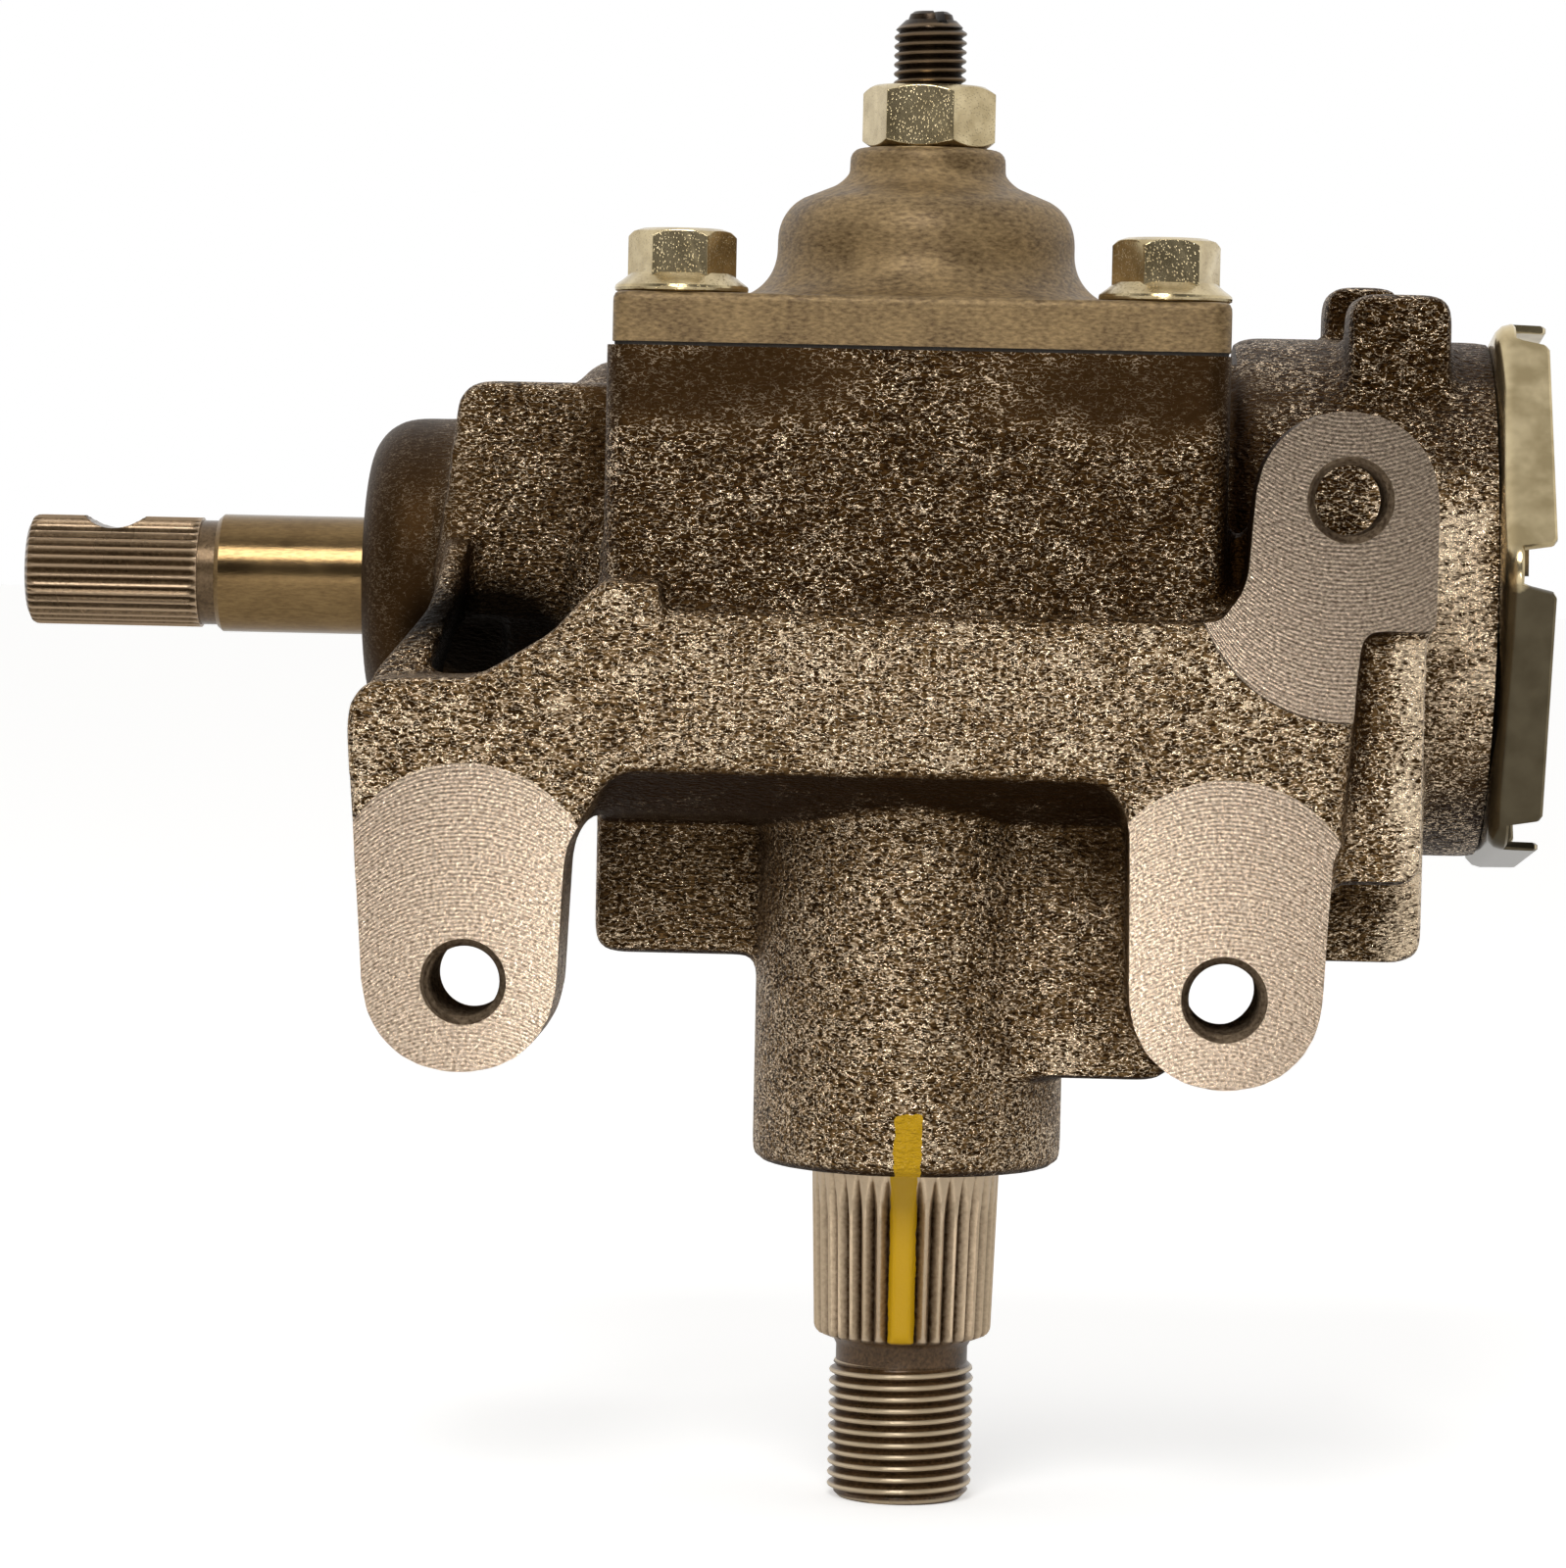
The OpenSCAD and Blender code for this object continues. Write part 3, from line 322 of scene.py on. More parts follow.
def thread_tree():
    """Threaded stud with a chamfer at both ends: a sheared grid wound round the axis."""
    tree, start, end = new_tree("threaded_stud", {
        "Radius": "Float", "Pitch": "Float", "Depth": "Float", "Length": "Float",
        "Chamfer": "Float", "Rows": "Int", "Steps": "Int", "Material": "Material"})
    radius, pitch, depth, length = (start.outputs[n] for n in ("Radius", "Pitch", "Depth", "Length"))
    chamfer, rows, steps = (start.outputs[n] for n in ("Chamfer", "Rows", "Steps"))
    grid = add(tree, "GeometryNodeMeshGrid", {
        "Size X": 1.0, "Size Y": 1.0, "Vertices X": calc(tree, "ADD", steps, 1.0), "Vertices Y": rows})
    here = add(tree, "ShaderNodeSeparateXYZ", {0: add(tree, "GeometryNodeInputPosition").outputs[0]})
    turn = calc(tree, "ADD", here.outputs[0], 0.5)
    row = calc(tree, "MULTIPLY", calc(tree, "ADD", here.outputs[1], 0.5), calc(tree, "SUBTRACT", rows, 1.0))
    pitches = calc(tree, "DIVIDE", row, float(PROFILE_ROWS))
    raw = calc(tree, "MULTIPLY", calc(tree, "ADD", calc(tree, "SUBTRACT", pitches, 1.0), turn), pitch)
    height = calc(tree, "MAXIMUM", calc(tree, "MINIMUM", raw, length), 0.0)
    part = calc(tree, "FRACT", calc(tree, "ADD", pitches, 0.01))
    slope = calc(tree, "ABSOLUTE", calc(tree, "MULTIPLY_ADD", part, 2.0, -1.0))
    groove = calc(tree, "MULTIPLY_ADD", slope, 1.5, -0.35)
    groove = calc(tree, "MAXIMUM", calc(tree, "MINIMUM", groove, 1.0), 0.0)
    thread_r = calc(tree, "SUBTRACT", radius, calc(tree, "MULTIPLY", depth, groove))
    near_end = calc(tree, "MINIMUM", height, calc(tree, "SUBTRACT", length, height))
    limit = calc(tree, "ADD", calc(tree, "SUBTRACT", radius, chamfer), near_end)
    r = calc(tree, "MINIMUM", thread_r, limit)
    angle = calc(tree, "MULTIPLY", turn, 2 * math.pi)
    spot = add(tree, "ShaderNodeCombineXYZ", {
        0: calc(tree, "MULTIPLY", r, calc(tree, "COSINE", angle)),
        1: calc(tree, "MULTIPLY", r, calc(tree, "SINE", angle)), 2: height})
    # The share of painted crest light is stored before the grid is wound, because it is read from the grid's own rows
    marked = add(tree, "GeometryNodeStoreNamedAttribute", {
        "Geometry": grid.outputs[0], "Name": "worn", "Value": calc(tree, "SUBTRACT", 1.0, groove)},
        data_type="FLOAT", domain="POINT")
    wound = add(tree, "GeometryNodeSetPosition", {"Geometry": marked.outputs[0], "Position": spot.outputs[0]})
    caps = []
    for level in (0.0, length):
        disc = add(tree, "GeometryNodeMeshCircle", {
            "Vertices": steps, "Radius": calc(tree, "SUBTRACT", radius, chamfer)}, fill_type="NGON")
        lift = add(tree, "ShaderNodeCombineXYZ", {2: level})
        caps.append(add(tree, "GeometryNodeTransform",
                        {"Geometry": disc.outputs[0], "Translation": lift.outputs[0]}))
    whole = add(tree, "GeometryNodeJoinGeometry")
    for part in (wound, *caps):
        tree.links.new(part.outputs[0], whole.inputs[0])
    close_tree(tree, start, end, add(tree, "GeometryNodeMergeByDistance", {
        "Geometry": whole.outputs[0], "Distance": 2e-6}).outputs[0])
    return tree


def spline_tree():
    """Splined end: V grooves that run out to points, with some pitches left uncut as wide teeth."""
    tree, start, end = new_tree("splined_end", {
        "Radius": "Float", "Taper": "Float", "Depth": "Float", "Slope": "Float", "Length": "Float",
        "Chamfer": "Float", "Runout": "Float", "Pitches": "Int", "Wide every": "Int", "Rows": "Int",
        "Columns": "Int", "Material": "Material"})
    radius, taper, depth, slope = (start.outputs[n] for n in ("Radius", "Taper", "Depth", "Slope"))
    length, chamfer, runout = (start.outputs[n] for n in ("Length", "Chamfer", "Runout"))
    pitches, wide, rows = (start.outputs[n] for n in ("Pitches", "Wide every", "Rows"))
    grid = add(tree, "GeometryNodeMeshGrid", {
        "Size X": 1.0, "Size Y": 1.0, "Vertices X": start.outputs["Columns"], "Vertices Y": rows})
    here = add(tree, "ShaderNodeSeparateXYZ", {0: add(tree, "GeometryNodeInputPosition").outputs[0]})
    turn = calc(tree, "ADD", here.outputs[0], 0.5)
    row = calc(tree, "MULTIPLY", calc(tree, "ADD", here.outputs[1], 0.5), calc(tree, "SUBTRACT", rows, 1.0))
    row = calc(tree, "ROUND", row)
    rise = calc(tree, "DIVIDE", calc(tree, "SUBTRACT", row, 1.0), calc(tree, "SUBTRACT", rows, 3.0))
    rise = calc(tree, "MAXIMUM", calc(tree, "MINIMUM", rise, 1.0), 0.0)
    height = calc(tree, "MULTIPLY", rise, length)
    outer = calc(tree, "MULTIPLY_ADD", height, taper, radius)
    # Offset from the middle of the nearest groove, as a length along the surface
    count = calc(tree, "MULTIPLY", turn, pitches)
    index = calc(tree, "ROUND", count)
    off = calc(tree, "ABSOLUTE", calc(tree, "SUBTRACT", count, index))
    arc = calc(tree, "MULTIPLY", off, calc(tree, "DIVIDE", calc(tree, "MULTIPLY", outer, 2 * math.pi), pitches))
    fade = calc(tree, "DIVIDE", calc(tree, "SUBTRACT", length, height), runout)
    fade = calc(tree, "MAXIMUM", calc(tree, "MINIMUM", fade, 1.0), 0.0)
    fade = calc(tree, "MULTIPLY", fade, calc(tree, "SUBTRACT", 2.0, fade))
    cut = calc(tree, "SUBTRACT", calc(tree, "MULTIPLY", depth, fade), calc(tree, "MULTIPLY", arc, slope))
    cut = calc(tree, "MAXIMUM", cut, 0.0)
    uncut = calc(tree, "COMPARE", calc(tree, "MODULO", index, wide), 0.0, 0.1)
    uncut = calc(tree, "MULTIPLY", uncut, calc(tree, "GREATER_THAN", wide, 0.5))
    cut = calc(tree, "MULTIPLY", cut, calc(tree, "SUBTRACT", 1.0, uncut))
    # The tip is rounded by a quarter circle
    back = calc(tree, "MAXIMUM", calc(tree, "SUBTRACT", chamfer, height), 0.0)
    lip = calc(tree, "SQRT", calc(tree, "SUBTRACT", calc(tree, "MULTIPLY", chamfer, chamfer),
                                  calc(tree, "MULTIPLY", back, back)))
    limit = calc(tree, "ADD", calc(tree, "SUBTRACT", outer, chamfer), lip)
    r = calc(tree, "MINIMUM", calc(tree, "SUBTRACT", outer, cut), limit)
    # Share of painted crest light: 1 on the crests, 0 deep in the grooves
    worn = calc(tree, "SUBTRACT", 1.0, calc(tree, "DIVIDE", cut, depth))
    # The first and last rows close the ends on the axis
    ring = calc(tree, "MULTIPLY", calc(tree, "GREATER_THAN", row, 0.5),
                calc(tree, "LESS_THAN", row, calc(tree, "SUBTRACT", rows, 1.5)))
    r = calc(tree, "MULTIPLY", r, ring)
    angle = calc(tree, "MULTIPLY", turn, 2 * math.pi)
    spot = add(tree, "ShaderNodeCombineXYZ", {
        0: calc(tree, "MULTIPLY", r, calc(tree, "COSINE", angle)),
        1: calc(tree, "MULTIPLY", r, calc(tree, "SINE", angle)), 2: height})
    marked = add(tree, "GeometryNodeStoreNamedAttribute", {
        "Geometry": grid.outputs[0], "Name": "worn", "Value": worn}, data_type="FLOAT", domain="POINT")
    shape = add(tree, "GeometryNodeSetPosition", {"Geometry": marked.outputs[0], "Position": spot.outputs[0]})
    close_tree(tree, start, end, add(tree, "GeometryNodeMergeByDistance", {
        "Geometry": shape.outputs[0], "Distance": 1e-6}).outputs[0])
    return tree


def copies_tree():
    """A part set out at every point of a mesh, turned about Z by the point's own angle."""
    tree, start, end = new_tree("set_out_copies", {"Part": "Object", "Material": "Material"})
    part = add(tree, "GeometryNodeObjectInfo", {"Object": start.outputs["Part"]})
    angle = add(tree, "GeometryNodeInputNamedAttribute", {"Name": "angle"}, data_type="FLOAT")
    spin = add(tree, "ShaderNodeCombineXYZ", {2: angle.outputs[0]})
    set_out = add(tree, "GeometryNodeInstanceOnPoints", {
        "Points": start.outputs["Geometry"], "Instance": part.outputs["Geometry"], "Rotation": spin.outputs[0]})
    close_tree(tree, start, end, set_out.outputs[0])
    return tree


THREAD, SPLINE, COPIES = thread_tree(), spline_tree(), copies_tree()


def stud(name, r, pitch, depth, length, chamfer, material=None, steps=64):
    """Threaded stud along Z from 0, in millimetres."""
    mesh = grown(THREAD, name, {
        "Radius": r * MM, "Pitch": pitch * MM, "Depth": depth * MM, "Length": length * MM,
        "Chamfer": chamfer * MM, "Rows": int((length / pitch + 2) * PROFILE_ROWS) + 1, "Steps": steps,
        "Material": material})
    outward(mesh)
    return mesh


def splined(name, r, taper, depth, half_width, length, chamfer, runout, pitches, wide, rows, material):
    """Splined end along Z from its tip at 0, in millimetres, with every so many pitches left wide."""
    mesh = grown(SPLINE, name, {
        "Radius": r * MM, "Taper": taper, "Depth": depth * MM, "Slope": depth / half_width,
        "Length": length * MM, "Chamfer": chamfer * MM, "Runout": runout * MM, "Pitches": pitches,
        "Wide every": wide, "Rows": rows, "Columns": pitches * 8 + 1, "Material": material})
    outward(mesh)
    return mesh


def set_out(name, part, points, material):
    """Copies of a part at [x, y, z, angle] points, in millimetres and degrees."""
    spots = bpy.data.meshes.new(name + "_points")
    spots.from_pydata([(x * MM, y * MM, z * MM) for x, y, z, a in points], [], [])
    turns = spots.attributes.new("angle", "FLOAT", "POINT")
    turns.data.foreach_set("value", [math.radians(a) for x, y, z, a in points])
    pattern = placed(part)
    mesh = grown(COPIES, name, {"Part": pattern, "Material": material}, spots)
    bpy.data.objects.remove(pattern)
    return mesh


# Finishes

PAINT = "#cfa108"
FEED_R, FEED = 21.0, 0.55


def new_material(name):
    mat = bpy.data.materials.new(name)
    mat.use_nodes = True
    mat.node_tree.nodes.clear()
    return mat, mat.node_tree


def where(tree, kind="Object"):
    """Place on the piece, or the way that its surface faces, and the three parts of that."""
    spot = add(tree, "ShaderNodeTexCoord").outputs[kind]
    return spot, *add(tree, "ShaderNodeSeparateXYZ", {0: spot}).outputs


def noise(tree, spot, size, detail=2.0, roughness=0.5):
    """Noise whose features are that many millimetres across."""
    return add(tree, "ShaderNodeTexNoise", {
        "Vector": spot, "Scale": per_mm(size), "Detail": detail, "Roughness": roughness}).outputs["Fac"]


def ranged(tree, value, low, high, start=0.0, end=1.0):
    """Value carried from one range over to another, and held at its ends."""
    return add(tree, "ShaderNodeMapRange", {
        "Value": value, "From Min": low, "From Max": high, "To Min": start, "To Max": end}).outputs[0]


def oval(tree, a, middle_a, half_a, b, middle_b, half_b):
    """Squared distance from the middle of an oval, 1 at its edge, from two places and sizes in millimetres."""
    a = calc(tree, "MULTIPLY_ADD", a, 1 / (half_a * MM), -middle_a / half_a)
    b = calc(tree, "MULTIPLY_ADD", b, 1 / (half_b * MM), -middle_b / half_b)
    return calc(tree, "ADD", calc(tree, "MULTIPLY", a, a), calc(tree, "MULTIPLY", b, b))


def mixed(tree, share, *colours):
    """Blend of two colours, each a socket or a hex value."""
    base, over = (srgb(c) if isinstance(c, str) else c for c in colours)
    return add(tree, "ShaderNodeMix", {"Factor": share, 6: base, 7: over}, data_type="RGBA").outputs[2]


def ramp(tree, value, *stops):
    """Two tones, given as the levels of a value and their hex colours."""
    node = add(tree, "ShaderNodeValToRGB", {"Fac": value})
    for stop, (level, code) in zip(node.color_ramp.elements, stops):
        stop.position, stop.color = level, srgb(code)
    return node.outputs[0]


def close_material(tree, shader):
    add(tree, "ShaderNodeOutputMaterial", {"Surface": shader.outputs[0]})


def surfaced(tree, colour, metallic, roughness, height, strength, depth, specular=0.5):
    """Closes a finish over a bump of that depth in millimetres."""
    bump = add(tree, "ShaderNodeBump", {"Height": height, "Strength": strength, "Distance": depth * MM})
    close_material(tree, add(tree, "ShaderNodeBsdfPrincipled", {
        "Base Color": colour, "Metallic": metallic, "Roughness": roughness, "Specular IOR Level": specular,
        "Normal": bump.outputs[0]}))


def cast_iron():
    """Sand-cast grey iron under oil: a deep brown skin, with pale ridges between the sand's pits painted on as
    glints, painted highlight on the raised faces, and painted shade in corners, underneath and in a pocket.
    """
    mat, t = new_material("sand_cast_grey_iron")
    spot, x, y, z = where(t)
    lay = add(t, "ShaderNodeMapping", {"Vector": spot, "Scale": (0.62, 1.0, 1.3)}).outputs[0]
    sand, breaks, swell = noise(t, lay, 0.64, 2.0, 0.55), noise(t, lay, 0.6), noise(t, spot, 6)
    ridge = calc(t, "ABSOLUTE", calc(t, "SUBTRACT", sand, 0.5))
    ridge = calc(t, "MAXIMUM", calc(t, "MULTIPLY_ADD", ridge, -24.0, 1.0), 0.0)
    height = calc(t, "MULTIPLY_ADD", swell, 1.2, sand)
    height = calc(t, "MULTIPLY_ADD", breaks, 0.8, height)
    # The mould was slick in two patches under the cover and round the input boss
    away = oval(t, calc(t, "ABSOLUTE", x), 28, 19, z, 107, 7)
    away = calc(t, "MULTIPLY_ADD", swell, 1.2, away)
    boss = calc(t, "MAXIMUM", calc(t, "MULTIPLY_ADD", x, 1 / (8 * MM), 78 / 8),
                calc(t, "MULTIPLY_ADD", y, -1 / (4 * MM), 12 / 4))
    grain = ranged(t, calc(t, "MINIMUM", away, boss), 0.9, 2.3, 0.1)
    # Painted highlight: the raised faces in front, the tube and the two ends are painted lighter, with more painted
    # glints, than the case and the top
    right_end = calc(t, "MINIMUM", ranged(t, x, 60 * MM, 66 * MM), ranged(t, z, 98 * MM, 90 * MM))
    painted_highlight = calc(t, "MAXIMUM", ranged(t, y, -28.2 * MM, -30.6 * MM), ranged(t, z, 54 * MM, 49 * MM))
    painted_highlight = calc(t, "MAXIMUM", painted_highlight, calc(t, "MULTIPLY", right_end, 2.4))
    painted_highlight = calc(t, "MAXIMUM", painted_highlight, ranged(t, x, -42 * MM, -48 * MM, 0.0, 0.4))
    # Painted shade: darker in the corners, where little light reaches, and on faces turned downwards
    open_air = add(t, "ShaderNodeAmbientOcclusion", {"Distance": 18 * MM}, samples=8)
    dark = calc(t, "MAXIMUM", ranged(t, open_air.outputs["AO"], 0.4, 0.9, 1.0, 0.0),
                ranged(t, where(t, "Normal")[3], -0.25, -0.8))
    # Painted glints: pale ridges between the pits, more of them on the painted highlight and fewer in the painted
    # shade
    painted_glints = calc(t, "MULTIPLY_ADD", painted_highlight, 0.32, ridge)
    for part, weight in ((breaks, 1.6), (swell, 0.9), (dark, -0.7)):
        painted_glints = calc(t, "MULTIPLY_ADD", part, weight, painted_glints)
    painted_glints = ranged(t, painted_glints, 1.75, 2.18, 0.0, grain)
    # Painted highlight: the skin is painted lighter on those faces
    skin = mixed(t, calc(t, "MULTIPLY", painted_highlight, grain), mixed(t, grain, "#352411", "#4b3418"), "#7f623d")
    pits = calc(t, "MULTIPLY", ranged(t, breaks, 0.62, 0.4), calc(t, "MULTIPLY_ADD", painted_highlight, -0.05, 1.0))
    pits = calc(t, "MULTIPLY", pits, calc(t, "MAXIMUM", grain, 0.35))
    # The sand's pits, and the painted shade in corners and underneath, take the darkest brown
    skin = mixed(t, calc(t, "MAXIMUM", pits, dark), skin, "#281705")
    # Painted glints: the pale colour laid over the skin
    skin = mixed(t, painted_glints, skin, "#f9e1c0")
    # Painted shadow: the pocket behind the left arm is painted black
    painted_pocket_shadow = calc(t, "MULTIPLY", ranged(t, oval(t, x, -60, 13, z, 71, 9), 1.3, 0.45),
                  ranged(t, y, -12 * MM, -6 * MM))
    skin = mixed(t, painted_pocket_shadow, skin, "#100a04")
    # Yellow inspection stripe brushed over the grain at the foot of the sector tube
    ragged = noise(t, spot, 2.2, 3.0)
    across = calc(t, "ABSOLUTE", calc(t, "ADD", x, -0.5 * MM))
    wide = calc(t, "MULTIPLY_ADD", ragged, 1.6 * MM, 1.0 * MM)
    low = calc(t, "LESS_THAN", z, calc(t, "MULTIPLY_ADD", ragged, 2.0 * MM, 7.6 * MM))
    front = calc(t, "LESS_THAN", y, -15 * MM)
    mark = calc(t, "MULTIPLY", calc(t, "LESS_THAN", across, wide), calc(t, "MULTIPLY", low, front))
    surfaced(t, mixed(t, mark, skin, PAINT), calc(t, "MULTIPLY_ADD", mark, -0.95, 0.95),
             calc(t, "MULTIPLY_ADD", painted_glints, -0.34, 0.54), height, grain, 0.68, 0.25)
    return mat


def milled_iron():
    """Face-milled grey iron: bare pale metal with the cutter's arcs, one for each feed step."""
    mat, t = new_material("face_milled_grey_iron")
    spot = add(t, "ShaderNodeTexCoord").outputs["Object"]
    feed = add(t, "ShaderNodeAttribute", attribute_name="feed")
    across, along, _ = add(t, "ShaderNodeSeparateXYZ", {0: feed.outputs["Vector"]}).outputs
    inner = calc(t, "MULTIPLY_ADD", calc(t, "MULTIPLY", across, across), -1.0, FEED_R * FEED_R)
    arc = calc(t, "SUBTRACT", along, calc(t, "SQRT", inner))
    arc = calc(t, "MULTIPLY_ADD", noise(t, spot, 5, 3.0), 0.5, arc)
    wave = calc(t, "SINE", calc(t, "MULTIPLY", arc, 2 * math.pi / FEED))
    height = calc(t, "MULTIPLY_ADD", wave, 0.1, noise(t, spot, 0.45))
    shade = calc(t, "MULTIPLY_ADD", wave, 0.08, noise(t, spot, 0.5))
    surfaced(t, ramp(t, shade, (0.3, "#6a5a49"), (0.66, "#af9e8b")), 0.9, 0.23, height, 0.5, 0.04)
    return mat


def metal(name, dark, light, grain, metallic, roughness, depth, streak=(1, 1, 1), crest=None):
    """Bare or plated metal: two tones and a fine grain, drawn out along an axis where it was turned or drawn."""
    mat, t = new_material(name)
    spot = add(t, "ShaderNodeTexCoord").outputs["Object"]
    lay = add(t, "ShaderNodeMapping", {"Vector": spot, "Scale": streak}).outputs[0]
    fine, cloud = noise(t, lay, grain, 3.0, 0.6), noise(t, spot, grain * 14, 3.0)
    blend = calc(t, "MULTIPLY_ADD", cloud, 0.35, calc(t, "MULTIPLY", fine, 0.65))
    colour = ramp(t, blend, (0.36, dark), (0.64, light))
    if crest:
        # Painted highlight and shade: crests of threads and splines are painted bright, and their grooves dark
        worn = add(t, "ShaderNodeAttribute", attribute_name="worn").outputs["Fac"]
        colour = mixed(t, ranged(t, worn, 0.6, 1.0), colour, crest)
    rough = ranged(t, cloud, 0.3, 0.7, roughness * 0.85, roughness * 1.2)
    surfaced(t, colour, metallic, rough, fine, 0.5, depth)
    return mat


def arm_spline_steel():
    """Hobbed steel with an oil film, its crests painted lit and its grooves painted in shade, and a yellow stripe
    down the wide tooth in front.
    """
    mat, t = new_material("hobbed_steel_marked")
    spot, x, y, _ = where(t)
    fine, ragged = noise(t, spot, 0.6, 3.0), noise(t, spot, 1.5)
    worn = add(t, "ShaderNodeAttribute", attribute_name="worn").outputs["Fac"]
    shade = calc(t, "MULTIPLY_ADD", ranged(t, worn, 0.1, 0.95), 0.75, calc(t, "MULTIPLY", fine, 0.5))
    tone = ramp(t, shade, (0.2, "#453019"), (0.98, "#cbb598"))
    edge = calc(t, "MULTIPLY_ADD", ragged, 0.5 * MM, 1.55 * MM)
    mark = calc(t, "MULTIPLY", calc(t, "LESS_THAN", calc(t, "ABSOLUTE", x), edge),
                calc(t, "LESS_THAN", y, -11 * MM))
    surfaced(t, mixed(t, mark, tone, PAINT), calc(t, "MULTIPLY_ADD", mark, -0.8, 0.8), 0.38, fine, 0.5, 0.12, 0.25)
    return mat


def zinc(name, pit, tab_shade):
    """Bright zinc plate: a smooth pale skin with small pits that sparkle, and painted shade low down on stamped tabs.
    """
    mat, t = new_material(name)
    spot, _, _, z = where(t)
    cloud = noise(t, spot, 4, 4.0)
    pits = add(t, "ShaderNodeTexVoronoi", {"Vector": spot, "Scale": per_mm(0.38)})
    tone = ramp(t, cloud, (0.35, "#ad9b75"), (0.65, "#d2c098"))
    # Painted shade: the stamped nut's low faces, all but those turned to the back, are painted dark with a mottled
    # edge
    tab = ranged(t, where(t, "Normal")[1], 0.9, 0.6, 0.0, tab_shade)
    low = ranged(t, calc(t, "MULTIPLY_ADD", cloud, 6 * MM, z), 86 * MM, 84.5 * MM, 0.0, tab)
    surfaced(t, mixed(t, low, tone, "#332e25"), 0.95, 0.2, ranged(t, pits.outputs["Distance"], 0.0, 0.3), 0.6, pit)
    return mat


def turned_steel():
    """Bright steel off the lathe: fine rings round the worm's line that break up its shine."""
    mat, t = new_material("turned_bright_steel")
    spot, _, y, z = where(t)
    y, z = calc(t, "ADD", y, -WORM_Y * MM), calc(t, "ADD", z, -WORM_Z * MM)
    reach = calc(t, "SQRT", calc(t, "ADD", calc(t, "MULTIPLY", y, y), calc(t, "MULTIPLY", z, z)))
    ring = calc(t, "SINE", calc(t, "MULTIPLY", reach, 2 * math.pi / (0.7 * MM)))
    shade = calc(t, "MULTIPLY_ADD", ring, 0.08, noise(t, spot, 7, 3.0))
    surfaced(t, ramp(t, shade, (0.3, "#8b7f6a"), (0.7, "#aea089")), 0.95, 0.26, ring, 0.6, 0.02)
    return mat


# The metals give their two tones, then grain in mm, metallic share, roughness and bump in mm
IRON = cast_iron()
MILLED = milled_iron()
BORED = metal("bored_grey_iron", "#4a3b2b", "#8d7a63", 0.6, 0.8, 0.38, 0.08)
ALLOY = metal("blasted_cast_alloy", "#574225", "#9d835a", 0.5, 0.45, 0.5, 0.12, (0.5, 0.5, 1.3))
ZINC = zinc("bright_zinc_plate", 0.1, 0.0)
STAMPED = zinc("zinc_plated_stamping", 0.01, 0.88)
OILY = metal("oiled_black_steel", "#20160c", "#3a2c1c", 0.5, 0.75, 0.3, 0.06, crest="#6d5a43")
GROUND = metal("ground_shaft_steel", "#6d573a", "#866e4a", 0.35, 1.0, 0.2, 0.02, (0.25, 1, 1))
CUT_STEEL = metal("rolled_serration_steel", "#4c3a24", "#735d42", 0.5, 0.6, 0.28, 0.06, crest="#b0977a")
THREAD_STEEL = metal("cut_thread_steel", "#38260f", "#6b5033", 0.5, 0.3, 0.3, 0.06, crest="#d2bd9c")
SPLINE_STEEL = arm_spline_steel()
GEAR = metal("carburised_gear_steel", "#5c5a57", "#8a8782", 0.5, 0.95, 0.32, 0.05)
BEARING = metal("hardened_bearing_steel", "#9c9a96", "#c4c2be", 0.4, 1.0, 0.16, 0.01)
BRONZE = metal("sintered_bronze", "#7d5a2c", "#a9814a", 0.3, 0.9, 0.42, 0.05)
BRASS = metal("pressed_brass", "#8f7434", "#b79a55", 0.5, 0.95, 0.3, 0.03)
RUBBER = metal("moulded_nitrile_rubber", "#141311", "#24221f", 0.5, 0.0, 0.55, 0.06)
FIBRE = metal("pressed_gasket_fibre", "#1b1712", "#332c23", 0.3, 0.0, 0.8, 0.08)
SHEET = metal("drawn_sheet_steel", "#8d887c", "#b6b1a3", 0.6, 0.95, 0.28, 0.03)
TURNED = turned_steel()
NUT_STEEL = metal("hardened_nut_steel", "#6f675a", "#948b7c", 0.5, 0.95, 0.3, 0.05)


# Gear housing: the solids' own casting, skinned, then machined where the real one is

def pad_cutter(name, hole, lift, r, up):
    """Face cutter over one ear: a round end of its own radius, run out past the ear's end."""
    x, z = HOLES[hole][0], HOLES[hole][1] + lift
    if up:
        outline = round_points((x, z), r, 180, 360) + [(x + r, COVER_Z + 6), (x - r, COVER_Z + 6)]
    else:
        outline = round_points((x, z), r, 0, 180) + [(x - r, -4), (x + r, -4)]
    return drawn(name, outline, -PAD_Y, -PAD_Y + 4, FRONT)


def tapped_hole(name, hole, depth):
    x, z = HOLES[hole]
    stick = stud(name, TAP_R, TAP_PITCH, TAP_R - HOLE_R, depth + 8, 1.0, steps=48)
    stick.transform(Matrix.Translation((x * MM, (PAD_Y - 3) * MM, z * MM)) @ Matrix.Rotation(
        math.radians(-90), 4, "X"))
    return stick


def countersink(name, hole):
    x, z = HOLES[hole]
    deep = COUNTERSINK_R - HOLE_R + 0.6
    return turned(name, [(0, -deep), (COUNTERSINK_R - deep, -deep), (COUNTERSINK_R, 0), (COUNTERSINK_R + 1, 1),
                         (0, 1)], 48, Matrix.Translation((x * MM, PAD_Y * MM, z * MM)) @ FRONT)


def sweep(name, z0, z1, grow):
    """Room that the sector's teeth sweep, behind the hub."""
    r, edge = SWEEP_R + grow, SWEEP_Y - grow
    start = -math.degrees(math.asin(-edge / r))
    return drawn(name, round_points((0, 0), r, start, 180 - start, 48), z0, z1)


